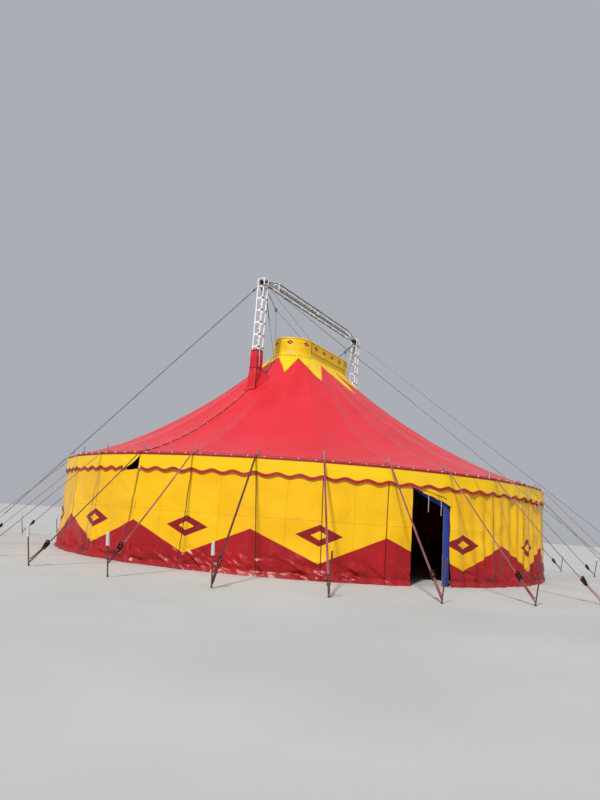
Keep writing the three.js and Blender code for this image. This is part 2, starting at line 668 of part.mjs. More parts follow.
function addCupola() {
  const ringLow = RING_HEIGHT - CUPOLA_TUBE;
  const parts = [
    ovalSheet(wholeRing, -CUPOLA_INSET, CUPOLA_TUBE, ringLow, RING_HEIGHT),
    ovalSheet(wholeRing, -CUPOLA_INSET, CUPOLA_TUBE, CUPOLA_TOP - CUPOLA_TUBE, CUPOLA_TOP),
  ];
  for (let bay = 0; bay < BAYS; bay += BAYS_PER_PANEL) {
    const foot = ringPoint(bay, -CUPOLA_INSET - CUPOLA_TUBE / 2);
    const head = foot.clone().setZ(CUPOLA_TOP - CUPOLA_TUBE / 2);
    parts.push(bar(foot.setZ(ringLow + CUPOLA_TUBE / 2), head, CUPOLA_POST));
  }
  addPiece('cupola_frame', geometryOf(joined(parts)), 'steel');

  // Cloth of the round ends reaches down to the roof; the straight sides hang free at the bottom
  const endLow = RING_HEIGHT + COLLAR_THICKNESS + 8 * GAP;
  const cloth = (bays, low) => ovalSheet(bays, CUPOLA_SKIN_OUT, CUPOLA_SKIN, low, CUPOLA_TOP);
  const halfTurn = BAYS / 2;
  const westEnd = between(-CUPOLA_END_BAYS, CUPOLA_END_BAYS);
  const eastEnd = between(halfTurn - CUPOLA_END_BAYS, halfTurn + CUPOLA_END_BAYS);
  addPiece('cupola_end_west', cloth(westEnd, endLow), 'yellow');
  addPiece('cupola_end_east', cloth(eastEnd, endLow), 'yellow');
  Object.entries(cupolaSides()).forEach(([name, bays]) => {
    addPiece(`cupola_side_${name}`, cloth(bays, CUPOLA_SIDE_LOW), 'yellow');
  });

  // Cover: rises a little towards the middle line
  const rim = (lift) => wholeRing.map((bay) => {
    const edge = ringPoint(bay, -COVER_INSET).setZ(CUPOLA_TOP + GAP + lift);
    const spine = at(Math.sign(edge.x) * Math.min(Math.abs(edge.x), RING_HALF_LENGTH), 0, 0);
    spine.z = edge.z + CUPOLA_RISE;
    const shoulder = edge.clone().lerp(spine, 0.5).setZ(edge.z + CUPOLA_RISE * COVER_SHOULDER);
    return [edge, shoulder, spine];
  });
  addPiece('cupola_cover', domedCover(rim), 'yellow');
}

// The cover is built as one closed body over the oval: a flat underside and a raised top
function domedCover(rim) {
  const top = rim(CUPOLA_SKIN);
  const low = rim(0).map((row) => row[0]);
  const points = [];
  const faces = [];
  const add = (point) => points.push(point) - 1;
  const outer = top.map((row) => add(row[0]));
  const raised = top.map((row) => add(row[1]));
  const under = low.map((point) => add(point));
  const crown = add(at(0, 0, top[0][2].z));
  const floor = add(at(0, 0, low[0].z));
  const count = outer.length;
  for (let i = 0; i < count; i += 1) {
    const j = (i + 1) % count;
    faces.push(outer[i], outer[j], raised[j], outer[i], raised[j], raised[i]);
    faces.push(raised[i], raised[j], crown);
    faces.push(under[i], under[j], outer[j], under[i], outer[j], outer[i]);
    faces.push(under[j], under[i], floor);
  }
  return facingOut(points, faces);
}

// Mast stays: taut wires from each mast head to anchors in the ground on both sides
function addStay(side, way, number) {
  const angle = side < 0 ? Math.PI + way * STAY_ANGLE : -way * STAY_ANGLE;
  const foot = at(STAY_ANCHOR_RADIUS * Math.cos(angle), STAY_ANCHOR_RADIUS * Math.sin(angle), 0);
  const lugY = Math.sign(foot.y) * (HEAD_WIDTH / 2 + GAP + STAY_LUG.depth / 2);
  const lug = at(side * MAST_X, lugY, STAY_TOP);
  const low = foot.clone().setZ(STAY_LOW_END);
  const along = new THREE.Vector3().subVectors(low, lug);
  const screwFrom = lug.clone().addScaledVector(along, TURNBUCKLE.from);
  const screwTo = lug.clone().addScaledVector(along, TURNBUCKLE.to);
  const anchorHead = foot.clone().multiplyScalar(1 + ANCHOR_LEAN).setZ(ANCHOR_HEIGHT);
  const parts = [
    bar(lug, low, STAY_DIAMETER, 6),
    bar(screwFrom, screwTo, TURNBUCKLE.diameter, 6),
    block(lug.x, lug.y, lug.z, STAY_LUG.width, STAY_LUG.depth, STAY_LUG.height),
    groundStake(foot, anchorHead, ANCHOR_DIAMETER),
  ];
  addPiece(`mast_stay_${number}`, geometryOf(joined(parts)), 'wire');
}

// Hoist: a wire from the mast head to a block, and two legs from the block to the upper ring
function addHoist(side, name) {
  const plate = HOIST_PLATE;
  const headFace = side * (MAST_X - HEAD_WIDTH / 2 - GAP - plate.width / 2);
  const lugHeight = MAST_TOP + HEAD_PLATE + 2 * GAP + plate.height / 2;
  const fromHead = at(headFace, 0, lugHeight);
  const pulley = at(side * HOIST_BLOCK.x, 0, HOIST_BLOCK.z);
  const legBay = side < 0 ? 2 : BAYS / 2 - 2;
  const legTop = CUPOLA_TOP + GAP + HOIST_LUG_HEIGHT - HOIST_DIAMETER / 2;
  const onRing = ringPoint(legBay, -HOIST_LUG_INSET).setZ(legTop);
  const legs = [-1, 1].map((way) => at(onRing.x, way * Math.abs(onRing.y), onRing.z));
  const parts = [
    block(headFace, 0, lugHeight, plate.width, plate.depth, plate.height),
    bar(fromHead, pulley, HOIST_DIAMETER * 2, 6),
    block(pulley.x, 0, pulley.z, HOIST_PULLEY.width, HOIST_PULLEY.depth, HOIST_PULLEY.height),
  ];
  legs.forEach((leg) => {
    parts.push(bar(pulley, leg, HOIST_DIAMETER, 6));
    const lugMiddle = CUPOLA_TOP + GAP + HOIST_LUG_HEIGHT / 2;
    parts.push(block(leg.x, leg.y, lugMiddle, HOIST_LUG, HOIST_LUG, HOIST_LUG_HEIGHT));
  });
  addPiece(`cupola_hoist_${name}`, geometryOf(joined(parts)), 'wire');
}

addRoof();
addCollar();
addValance();
addWall();
addEntrance();
addPoles();
addGuys();
addMast(-1, 'west');
addMast(1, 'east');
addTruss(-1, 'west');
addTruss(1, 'east');
addSleeve(-1, 'west');
addSleeve(1, 'east');
addCupola();
addStay(-1, -1, 1);
addStay(-1, 1, 2);
addStay(1, -1, 3);
addStay(1, 1, 4);
addHoist(-1, 'west');
addHoist(1, 'east');

export default tent;
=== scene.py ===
import math

import bmesh
import bpy
from mathutils import Matrix, Vector, noise
from mathutils.bvhtree import BVHTree


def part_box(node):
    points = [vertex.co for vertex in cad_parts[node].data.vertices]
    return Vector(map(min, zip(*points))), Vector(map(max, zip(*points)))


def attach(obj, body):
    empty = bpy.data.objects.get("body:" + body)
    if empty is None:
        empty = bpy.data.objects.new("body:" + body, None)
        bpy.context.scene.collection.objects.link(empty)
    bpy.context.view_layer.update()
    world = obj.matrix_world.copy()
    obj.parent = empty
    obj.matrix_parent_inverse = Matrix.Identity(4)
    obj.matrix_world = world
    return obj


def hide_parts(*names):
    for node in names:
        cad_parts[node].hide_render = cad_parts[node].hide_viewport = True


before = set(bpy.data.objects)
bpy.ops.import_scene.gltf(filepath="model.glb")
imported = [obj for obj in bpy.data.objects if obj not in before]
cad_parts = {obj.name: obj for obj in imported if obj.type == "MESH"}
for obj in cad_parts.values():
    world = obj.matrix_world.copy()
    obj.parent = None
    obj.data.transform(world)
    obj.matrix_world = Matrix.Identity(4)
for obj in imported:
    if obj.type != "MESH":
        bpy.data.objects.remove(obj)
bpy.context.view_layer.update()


# Camera. The tent is seen from the entrance side by someone who stands on the same ground.
# The view looks up a little and leans a little to one side, as a picture held in the hand does.
EYE_HEIGHT, EYE_DISTANCE, EYE_SIDE = 1.67, 26.87, math.radians(30.656)
LOOK_ASIDE, LOOK_UP, LEAN = math.radians(0.934), math.radians(11.221), math.radians(4.147)
LENS_MM = 26.66

camera_data = bpy.data.cameras.new("camera")
camera_data.lens = LENS_MM
camera = bpy.data.objects.new("camera", camera_data)
bpy.context.scene.collection.objects.link(camera)
stand = Vector((-EYE_DISTANCE * math.cos(EYE_SIDE), -EYE_DISTANCE * math.sin(EYE_SIDE), EYE_HEIGHT))
heading = EYE_SIDE + LOOK_ASIDE - math.pi / 2
aim = Matrix.Rotation(heading, 4, "Z") @ Matrix.Rotation(math.pi / 2 + LOOK_UP, 4, "X")
camera.matrix_world = Matrix.Translation(stand) @ aim @ Matrix.Rotation(LEAN, 4, "Z")
bpy.context.scene.camera = camera


# Masts. Two square ladders of welded aluminium tube, pinned together from three sections each.
# Pressed tube, left as it came from the mill, gives a soft white shine that weather has dulled.
UP = Vector((0, 0, 1))
ENDS = ((-1, "west"), (1, "east"))
CHORD_ENDS = ((-1, -1), (1, -1), (1, 1), (-1, 1))
MAST_X, MAST_TOP, MAST_BASE = 4.4, 10.9, 0.0206
MAST_CHORD, MAST_CHORD_SIDE = 0.058, 0.14
RUNG_WIDTH, RUNG_HEIGHT, RUNG_PITCH, RUNGS = 0.05, 0.07, 0.52, 21
COUPLER = (0.072, 0.072, 0.05)
SECTION_JOINTS = (3.55, 7.1)
FLANGE = (0.1, 0.1, 0.012)


def linear(colour):
    """An sRGB hex colour as the linear values that a shader takes."""
    parts = [int(colour[i:i + 2], 16) / 255 for i in (1, 3, 5)]
    return tuple(p / 12.92 if p <= 0.04045 else ((p + 0.055) / 1.055) ** 2.4 for p in parts) + (1.0,)


def add_node(tree, kind, sockets=(), **settings):
    """Adds a node, with its sockets in their order or by name.

    A socket takes a value, another socket, or a node, whose first output is used."""
    made = tree.nodes.new("ShaderNode" + kind)
    for name, value in settings.items():
        setattr(made, name, value)
    for place, value in sockets.items() if isinstance(sockets, dict) else enumerate(sockets):
        if isinstance(place, int):
            socket = made.inputs[place]
        else:
            socket = next(s for s in made.inputs if s.enabled and s.name == place)
        if isinstance(value, bpy.types.Node):
            value = next(s for s in value.outputs if s.enabled)
        if isinstance(value, bpy.types.NodeSocket):
            tree.links.new(value, socket)
        else:
            socket.default_value = value
    return made


def new_material(name):
    """An empty material and its node tree, ready for a shader."""
    material = bpy.data.materials.new(name)
    material.use_nodes = True
    material.node_tree.nodes.clear()
    return material, material.node_tree


def close_material(tree, relief=None, **sockets):
    """The one shader of a material. Relief is a height, its strength and its depth in metres."""
    named = {name.replace("_", " "): value for name, value in sockets.items()}
    if relief:
        named["Normal"] = add_node(tree, "Bump", dict(zip(("Height", "Strength", "Distance"), relief)))
    add_node(tree, "OutputMaterial", {"Surface": add_node(tree, "BsdfPrincipled", named)})


def coats(tree, base, *over):
    """Colours laid one over another, each as far as its share says. A colour is hex or a node."""
    colour = linear(base) if isinstance(base, str) else base
    for share, coat in over:
        coat = linear(coat) if isinstance(coat, str) else coat
        colour = add_node(tree, "Mix", {"Factor": share, "A": colour, "B": coat}, data_type="RGBA")
    return colour


def patches(tree, size_mm, low=0.0, high=1.0, detail=3.0, where=None):
    """A value that drifts between two others over patches of the given real size."""
    where = where or add_node(tree, "TexCoord").outputs["Object"]
    grain = add_node(tree, "TexNoise", {"Vector": where, "Scale": 1000 / size_mm, "Detail": detail})
    return add_node(tree, "MapRange", (grain, 0.32, 0.68, low, high))


def mill_aluminium(name, fresh, dulled, smooth, rough, metallic):
    """Pressed aluminium: a soft shine, duller in patches, with fine marks from handling."""
    material, tree = new_material(name)
    close_material(tree, (patches(tree, 14, detail=5.0), 0.25, 0.002), Metallic=metallic,
                   Base_Color=coats(tree, fresh, (patches(tree, 260), dulled)),
                   Roughness=patches(tree, 90, smooth, rough))
    return material


def add_tube(shape, start, end, diameter, sides=12, end_diameter=None):
    start, end = Vector(start), Vector(end)
    along = end - start
    turn = along.to_track_quat("Z", "Y").to_matrix().to_4x4()
    far = diameter if end_diameter is None else end_diameter
    bmesh.ops.create_cone(shape, cap_ends=True, segments=sides, radius1=diameter / 2, radius2=far / 2,
                          depth=along.length, matrix=Matrix.Translation((start + end) / 2) @ turn)


def add_pin(shape, middle, reach, diameter, sides=8):
    """A pin or roller that reaches equally far to both sides of its middle."""
    add_tube(shape, middle - reach, middle + reach, diameter, sides)


def add_block(shape, middle, size, turn=None):
    place = Matrix.Translation(Vector(middle)) @ (turn or Matrix.Identity(4))
    bmesh.ops.create_cube(shape, size=1.0, matrix=place @ Matrix.Diagonal((*size, 1.0)))


def put_together(name, mesh, stands_for):
    """Makes a mesh a piece of the tent and in place of a node of the frame."""
    piece = bpy.data.objects.new(name, mesh)
    bpy.context.scene.collection.objects.link(piece)
    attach(piece, "root")
    if stands_for:
        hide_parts(stands_for)
    return piece


def make_piece(name, shape, material, stands_for=None):
    """Turns a built shape into a piece, smooth except at its real edges."""
    mesh = bpy.data.meshes.new(name)
    bmesh.ops.recalc_face_normals(shape, faces=shape.faces)
    shape.to_mesh(mesh)
    shape.free()
    mesh.materials.append(material)
    mesh.shade_smooth()
    mesh.set_sharp_from_angle(angle=math.radians(35))
    put_together(name, mesh, stands_for)


mast_aluminium = mill_aluminium("mill_aluminium_mast", "#f7f8f9", "#e8ebee", 0.36, 0.52, 0.15)

# Couplers of steel passivated yellow: a dull brassy sheen under oil and grime
coupler_steel, tree = new_material("passivated_steel")
close_material(tree, Base_Color=coats(tree, "#8f7a45", (patches(tree, 40), "#3c3226")), Metallic=0.8,
               Roughness=patches(tree, 30, 0.35, 0.6))

for side, name in ENDS:
    mast, couplers = bmesh.new(), bmesh.new()

    def mast_corner(i, z):
        ahead, aside = CHORD_ENDS[i % 4]
        return Vector((side * MAST_X + ahead * MAST_CHORD_SIDE, aside * MAST_CHORD_SIDE, z))

    levels = [MAST_TOP - 0.016 - n * RUNG_PITCH for n in range(RUNGS)]
    for i, (ahead, aside) in enumerate(CHORD_ENDS):
        add_tube(mast, mast_corner(i, MAST_BASE), mast_corner(i, MAST_TOP), MAST_CHORD)
        size = (2 * MAST_CHORD_SIDE, RUNG_WIDTH) if i % 2 == 0 else (RUNG_WIDTH, 2 * MAST_CHORD_SIDE)
        for z in levels:
            corner = mast_corner(i, z)
            add_block(mast, corner.lerp(mast_corner(i + 1, z), 0.5), (*size, RUNG_HEIGHT))
            if i != 3:
                add_block(couplers, corner, COUPLER)
                bolt = Vector((ahead * 0.04, aside * 0.02, 0.0))
                add_tube(couplers, corner, corner + bolt * 1.3, 0.022, 6)
        # Section joints: a flange on each chord of the lower and the upper section, with a bolt
        for joint in SECTION_JOINTS:
            for lift in (-0.007, 0.007):
                add_block(mast, mast_corner(i, joint + lift), FLANGE)
            add_pin(mast, mast_corner(i, joint) + Vector((ahead, aside, 0)) * 0.037, UP * 0.03, 0.018, 6)
    # Braces in the top and bottom cells, where the head and the foot push sideways
    for upper, lower in (levels[:2], levels[-2:]):
        for i in range(4):
            add_tube(mast, mast_corner(i, upper), mast_corner(i + 1, lower), 0.02, 6)
    make_piece(f"ladder_mast_{name}", mast, mast_aluminium, f"mast_{name}")
    make_piece(f"mast_couplers_{name}", couplers, coupler_steel)


# Mast feet and heads. The foot is a welded steel plate, dipped in zinc: cold grey, faint spangle.
# The head is a frame of white posts round two black sheaves, with a short spike on top.
ZINC_SPANGLE_MM = 22
CROWN_POST = (0.135, 0.155)
CROWN_TOP, CROWN_BAR = 11.23, 0.04
SHEAVE_MIDDLE, SHEAVE = 11.09, 0.18
ACROSS = Vector((0, 1, 0))


def steps(first, last, count):
    return [first + (last - first) * i / count for i in range(count + 1)]


def round_section(diameter, sides=8):
    return [(math.cos(turn) * diameter / 2, math.sin(turn) * diameter / 2)
            for turn in steps(0, 2 * math.pi, sides)[:-1]]


def add_sweep(shape, stations, section, closed=False):
    """Carries a section along stations, each given as its middle, its way aside and its way up."""
    loops = [[shape.verts.new(middle + aside * a + up * b) for a, b in section]
             for middle, aside, up in stations]
    if not closed:
        shape.faces.new(loops[0][::-1])
        shape.faces.new(loops[-1])
    for here, after in zip(loops, loops[1:] + (loops[:1] if closed else [])):
        for j in range(len(section)):
            k = (j + 1) % len(section)
            shape.faces.new((here[j], here[k], after[k], after[j]))


def add_ring(shape, middle, axis, diameter, wire, turns=16):
    """A closed ring of round wire, such as a D-ring, a shackle or a thimble."""
    tilt = Vector(axis).to_track_quat("Z", "Y").to_matrix()
    outward = [tilt @ Vector((math.cos(swing), math.sin(swing), 0))
               for swing in steps(0, 2 * math.pi, turns)[:-1]]
    add_sweep(shape, [(Vector(middle) + out * diameter / 2, out, tilt @ UP) for out in outward],
              round_section(wire, 6), closed=True)


zinc_steel, tree = new_material("galvanised_steel")
where = add_node(tree, "TexCoord").outputs["Object"]
spangle = add_node(tree, "TexVoronoi", {"Vector": where, "Scale": 1000 / ZINC_SPANGLE_MM})
tint = add_node(tree, "MapRange", (spangle.outputs["Color"], 0.0, 1.0, 0.0, 0.6))
colour = coats(tree, "#cdd0d3", (tint, "#a3a8ab"), (patches(tree, 300, 0.0, 0.55), "#827c73"))
close_material(tree, (patches(tree, 9), 0.2, 0.001), Base_Color=colour, Metallic=0.9,
               Roughness=patches(tree, 60, 0.38, 0.6))

# Black nylon of the sheaves, with grey patches where the ropes have polished it
black_nylon, tree = new_material("cast_nylon_black")
close_material(tree, Base_Color=coats(tree, "#141516", (patches(tree, 30, 0.0, 0.6), "#34363a")),
               Roughness=patches(tree, 50, 0.35, 0.6))

for side, name in ENDS:
    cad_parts[f"mast_foot_{name}"].material_slots[0].material = zinc_steel
    fittings, crown, sheaves = bmesh.new(), bmesh.new(), bmesh.new()
    foot_low, foot_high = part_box(f"mast_foot_{name}")
    head_low, head_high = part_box(f"mast_head_{name}")
    middle = Vector((side * MAST_X, 0, head_low.z))
    top = Vector((middle.x, 0, CROWN_TOP - 0.02))
    posts = [(side * MAST_X + ahead * CROWN_POST[0], aside * CROWN_POST[1]) for ahead, aside in CHORD_ENDS]
    add_block(crown, middle + UP * 0.007, (0.33, 0.34, 0.014))
    for i, post in enumerate(posts):
        add_tube(crown, (*post, head_low.z), (*post, CROWN_TOP), 0.044)
        add_tube(crown, (*post, top.z), (*posts[(i + 1) % 4], top.z), CROWN_BAR, 8)
    add_pin(crown, top, ACROSS * CROWN_POST[1], CROWN_BAR)
    add_tube(crown, top, (middle.x, 0, head_high.z), 0.036, 12, 0.03)
    for aside, ahead in ((-0.055, -0.05), (0.055, 0.045)):
        hub = Vector((middle.x + side * ahead, aside, SHEAVE_MIDDLE))
        add_pin(sheaves, hub, ACROSS * 0.026, SHEAVE, 24)
        for cheek in (-0.034, 0.034):
            add_block(sheaves, hub + ACROSS * cheek, (0.07, 0.008, 0.24))
        add_pin(sheaves, Vector((hub.x, 0, hub.z)), ACROSS * CROWN_POST[1], 0.03)
    make_piece(f"mast_crown_{name}", crown, mast_aluminium, f"mast_head_{name}")
    make_piece(f"mast_sheaves_{name}", sheaves, black_nylon)
    reach = (foot_high.x - foot_low.x) / 2 - 0.07
    for ahead, aside in CHORD_ENDS:
        corner = Vector((side * MAST_X + ahead * reach, aside * reach, foot_high.z))
        add_tube(fittings, corner - UP * 0.004, corner + UP * 0.03, 0.045, 8)
        add_tube(fittings, corner + UP * 0.03, corner + UP * 0.07, 0.028, 6)
        bolt = Vector((side * MAST_X + ahead * 0.11, aside * 0.11, head_low.z + 0.02))
        add_tube(fittings, bolt, bolt + UP * 0.022, 0.032, 6)
    # Pulley that hangs inside the top cell of the mast
    pulley = Vector((side * (MAST_X - 0.02), 0, MAST_TOP - 0.22))
    for cheek in (-0.045, 0.045):
        add_block(fittings, pulley + ACROSS * cheek, (0.13, 0.012, 0.3))
    add_pin(fittings, pulley - UP * 0.03, ACROSS * 0.035, 0.15, 20)
    add_pin(fittings, pulley - UP * 0.03, ACROSS * 0.06, 0.03)
    add_ring(fittings, pulley + UP * 0.17, (1, 0, 0), 0.07, 0.016)
    make_piece(f"mast_fittings_{name}", fittings, zinc_steel)


# Ridge truss. Two square lattices of aluminium tube, bolted together in the middle of the tent.
# The chords are coloured dark grey as painted shade, for tube seen from below out of the light; the zigzag
# bracing is paler, the end frames white as painted sunlight.
TRUSS_LOW, TRUSS_HIGH, TRUSS_END = 11.09, 11.4, 3.45
TRUSS_WIDTH, TRUSS_CHORD, TRUSS_CELLS = 0.31, 0.048, 9
TRUSS_HALF, TRUSS_MIDDLE = (TRUSS_WIDTH - TRUSS_CHORD) / 2, (TRUSS_LOW + TRUSS_HIGH) / 2
NOSE_TIP, NOSE_MIDDLE = 4.3, 11.14

# The chords' dark grey is painted shade, not the colour of their metal
shaded_truss_aluminium = mill_aluminium("mill_aluminium_painted_shade", "#4a4e55", "#2d3036", 0.4, 0.6, 0.8)
bracing_aluminium = mill_aluminium("mill_aluminium_bracing", "#f6f7f8", "#dcdfe3", 0.36, 0.52, 0.1)

# White of the end frames, painted sunlight on their metal: a dull gloss, chipped and greyed a little
sunlit_white_paint, tree = new_material("white_painted_sunlight")
colour = coats(tree, "#f3f1ec", (patches(tree, 45, 0.0, 0.5, detail=6.0), "#bdb8ae"))
close_material(tree, (patches(tree, 6), 0.15, 0.001), Base_Color=colour,
               Roughness=patches(tree, 80, 0.3, 0.5))

for side, name in ENDS:
    def truss_corner(i, x):
        aside, above = CHORD_ENDS[i % 4]
        return Vector((side * x, aside * TRUSS_HALF, TRUSS_MIDDLE + above * TRUSS_HALF))

    start, end = TRUSS_CHORD / 2, TRUSS_END - TRUSS_CHORD / 2
    stations = steps(start, end, TRUSS_CELLS)
    truss, bracing, end_frame = bmesh.new(), bmesh.new(), bmesh.new()
    for i, (aside, above) in enumerate(CHORD_ENDS):
        add_tube(truss, truss_corner(i, 0.001), truss_corner(i, end + 0.02), TRUSS_CHORD)
        for n, (here, after) in enumerate(zip(stations, stations[1:])):
            first, second = (i, i + 1) if (n + i) % 2 == 0 else (i + 1, i)
            add_tube(bracing, truss_corner(first, here), truss_corner(second, after), 0.025, 6)
        # Frames at both ends, and at the middle joint a sleeve and a pin on each chord
        for x in (start, end):
            add_tube(end_frame, truss_corner(i, x), truss_corner(i + 1, x), 0.052, 10)
        add_tube(end_frame, truss_corner(i, end - 0.05), truss_corner(i, end + 0.03), 0.058)
        add_tube(truss, truss_corner(i, 0.001), truss_corner(i, 0.13), TRUSS_CHORD + 0.016)
        add_pin(truss, truss_corner(i, 0.07), UP * 0.05, 0.02)
        # Bars that run together down to the nose
        root = Vector((side * (NOSE_TIP - 0.1), aside * TRUSS_HALF * 0.4, NOSE_MIDDLE + above * 0.036))
        add_tube(truss, truss_corner(i, end), root, 0.032, 8)
    add_block(truss, (side * (NOSE_TIP - 0.07), 0, NOSE_MIDDLE), (0.14, 0.25, 0.11))
    make_piece(f"lattice_truss_{name}", truss, shaded_truss_aluminium, f"ridge_truss_{name}")
    make_piece(f"truss_bracing_{name}", bracing, bracing_aluminium)
    make_piece(f"truss_end_frame_{name}", end_frame, sunlit_white_paint)


# Mast stays. From each mast head two pairs of wire rope run down to stakes driven in the ground.
# Zinc-coated strands, greased against rust; a long turnbuckle near the ground draws each pair tight.
STAY_ANCHOR_RADIUS, STAY_ANGLE = 15.0, math.radians(67)
STAY_TOP, STAY_LUG_SIDE, STAY_LOW_END = 10.99, 0.17, 0.12
STAY_WIRE, STAY_PAIR_GAP = 0.016, 0.05
TURNBUCKLE_FROM, TURNBUCKLE_TO = 0.93, 0.965
ANCHOR_HEIGHT, ANCHOR_DIAMETER = 0.62, 0.048
WIRE_LAY_MM = 30

# Galvanised wire rope: bands of dull zinc with dark grease in the grooves between
wire_rope, tree = new_material("galvanised_wire_rope")
where = add_node(tree, "TexCoord").outputs["Object"]
# A wave's crests lie 0.314 units apart at scale 1
strands = add_node(tree, "TexWave", {"Vector": where, "Scale": 314 / WIRE_LAY_MM, "Distortion": 0.6},
                   bands_direction="DIAGONAL")
close_material(tree, (strands, 0.6, 0.001), Base_Color=coats(tree, "#3b3c3f", (strands, "#6f7276")),
               Metallic=0.6, Roughness=patches(tree, 120, 0.35, 0.55))

for number, (side, way) in enumerate(((-1, -1), (-1, 1), (1, -1), (1, 1)), start=1):
    angle = math.pi + way * STAY_ANGLE if side < 0 else -way * STAY_ANGLE
    foot = Vector((math.cos(angle), math.sin(angle), 0)) * STAY_ANCHOR_RADIUS
    lug = Vector((side * MAST_X, math.copysign(STAY_LUG_SIDE, foot.y), STAY_TOP))
    along = foot + UP * STAY_LOW_END - lug
    step = along.normalized()
    apart = along.cross(UP).normalized() * STAY_PAIR_GAP / 2
    screw_top, screw_low = lug + along * TURNBUCKLE_FROM, lug + along * TURNBUCKLE_TO
    wires, ends = bmesh.new(), bmesh.new()
    add_block(ends, lug, (0.09, 0.04, 0.09))
    add_ring(ends, lug + step * 0.06, apart.cross(along), 0.09, 0.016)
    for hand in (-apart, apart):
        add_tube(wires, lug + hand, screw_top + hand, STAY_WIRE, 8)
        clamp = lug + along * 0.015 + hand
        add_tube(wires, clamp, clamp + along * 0.006, STAY_WIRE * 2.2, 8)
        add_tube(wires, screw_low + hand * 0.4, lug + along + hand * 0.8, STAY_WIRE, 8)
        add_tube(ends, screw_top + hand * 0.5, screw_low + hand * 0.5, 0.012, 8)
    make_piece(f"stay_wires_{number}", wires, wire_rope, f"mast_stay_{number}")
    for middle in (screw_top, screw_low):
        add_pin(ends, middle, step * 0.02, 0.052)
    add_tube(ends, screw_top - step * 0.12, screw_top + step * 0.17, 0.018, 8)
    add_tube(ends, screw_low - step * 0.17, screw_low + step * 0.1, 0.018, 8)
    add_ring(ends, screw_top - step * 0.14, step.cross(apart), 0.06, 0.014)
    top = foot * 1.003 + UP * ANCHOR_HEIGHT
    add_tube(ends, foot, top, ANCHOR_DIAMETER)
    add_tube(ends, top - UP * 0.03, top + UP * 0.006, 0.06, 16, 0.086)
    add_tube(ends, top + UP * 0.006, top + UP * 0.018, 0.086, 16, 0.05)
    add_ring(ends, foot + UP * STAY_LOW_END, UP, ANCHOR_DIAMETER + 0.02, 0.02)
    make_piece(f"stay_anchor_{number}", ends, zinc_steel)


# Cupola frame. Two oval hoops of steel tube, one above the other, held apart by eight posts.
# It hangs from the mast heads, and the roof cloth is laced to its lower hoop.
BAYS, QUARTER_BAYS = 32, 8
RING_HALF_LENGTH, RING_RADIUS, RING_HEIGHT = 1.664, 0.86, 8.58
CUPOLA_TOP = 9.27
HOOP, HOOP_CORNER = 0.06, 0.012
RING_BAY = (RING_RADIUS * math.pi / 2 + RING_HALF_LENGTH) / QUARTER_BAYS


def ring_point(bay, outward=0.0, z=RING_HEIGHT):
    """A place on the oval hoop, counted in roof bays from its end on the -X side."""
    quarter = int(bay % BAYS // QUARTER_BAYS)
    turn = bay % QUARTER_BAYS
    from_end = (turn if quarter % 2 == 0 else QUARTER_BAYS - turn) * RING_BAY
    swing = min(from_end / RING_RADIUS, math.pi / 2)
    past = max(from_end - RING_RADIUS * math.pi / 2, 0)
    x = RING_HALF_LENGTH + (RING_RADIUS + outward) * math.cos(swing) - past
    y = (RING_RADIUS + outward) * math.sin(swing)
    return Vector((x if quarter in (1, 2) else -x, y if quarter >= 2 else -y, z))


hoops = bmesh.new()
flat, cut = HOOP / 2, HOOP / 2 - HOOP_CORNER
section = [(-flat, -cut), (-cut, -flat), (cut, -flat), (flat, -cut),
           (flat, cut), (cut, flat), (-cut, flat), (-flat, cut)]
for level in (RING_HEIGHT - HOOP / 2, CUPOLA_TOP - HOOP / 2):
    stations = []
    for bay in steps(0, BAYS, BAYS * 4)[:-1]:
        inner, outer = ring_point(bay, -HOOP, level), ring_point(bay, 0, level)
        stations.append(((inner + outer) / 2, (outer - inner).normalized(), UP))
    add_sweep(hoops, stations, section, closed=True)
for post in range(0, BAYS, 4):
    add_tube(hoops, ring_point(post, -HOOP / 2), ring_point(post, -HOOP / 2, CUPOLA_TOP - HOOP), 0.04)
make_piece("cupola_hoops", hoops, zinc_steel, "cupola_frame")


# Cupola hoists. A wire comes down from each mast head to a block, and two legs spread to the hoop.
# Beside them run the hauling ropes: one to the far leg, and one along the mast to the roof.
HOIST_BLOCK_X, HOIST_BLOCK_Z = 3.31, 10.27
HOIST_LEG_BAY, LEG_TOP = 2, CUPOLA_TOP + 0.043
HOIST_WIRE, HAULING_ROPE = 0.016, 0.014
ROPE_LAY_MM = 24
HALF_TURN = BAYS // 2


def add_rope(shape, points, diameter, closed=False):
    """A rope or cord along a row of points."""
    stations = []
    for i, point in enumerate(points):
        before, after = points[max(i - 1, 0)], points[min(i + 1, len(points) - 1)]
        if closed:
            before, after = points[i - 1], points[(i + 1) % len(points)]
        along = (after - before).normalized()
        aside = along.cross(Vector((0.31, 0.17, 0.93))).normalized()
        stations.append((point, aside, along.cross(aside)))
    add_sweep(shape, stations, round_section(diameter), closed)


def laid_rope(name, pale, dark):
    """Three-strand polyester rope, gone matt in the weather: soft diagonal ribs along it."""
    material, tree = new_material(name)
    where = add_node(tree, "TexCoord").outputs["Object"]
    ribs = add_node(tree, "TexWave", {"Vector": where, "Scale": 314 / ROPE_LAY_MM, "Distortion": 1.0},
                    bands_direction="DIAGONAL")
    close_material(tree, (ribs, 0.7, 0.002), Base_Color=coats(tree, dark, (ribs, pale)),
                   Roughness=0.85, Sheen_Weight=0.2)
    return material


grey_rope = laid_rope("laid_rope_grey", "#5d6064", "#3a3c40")

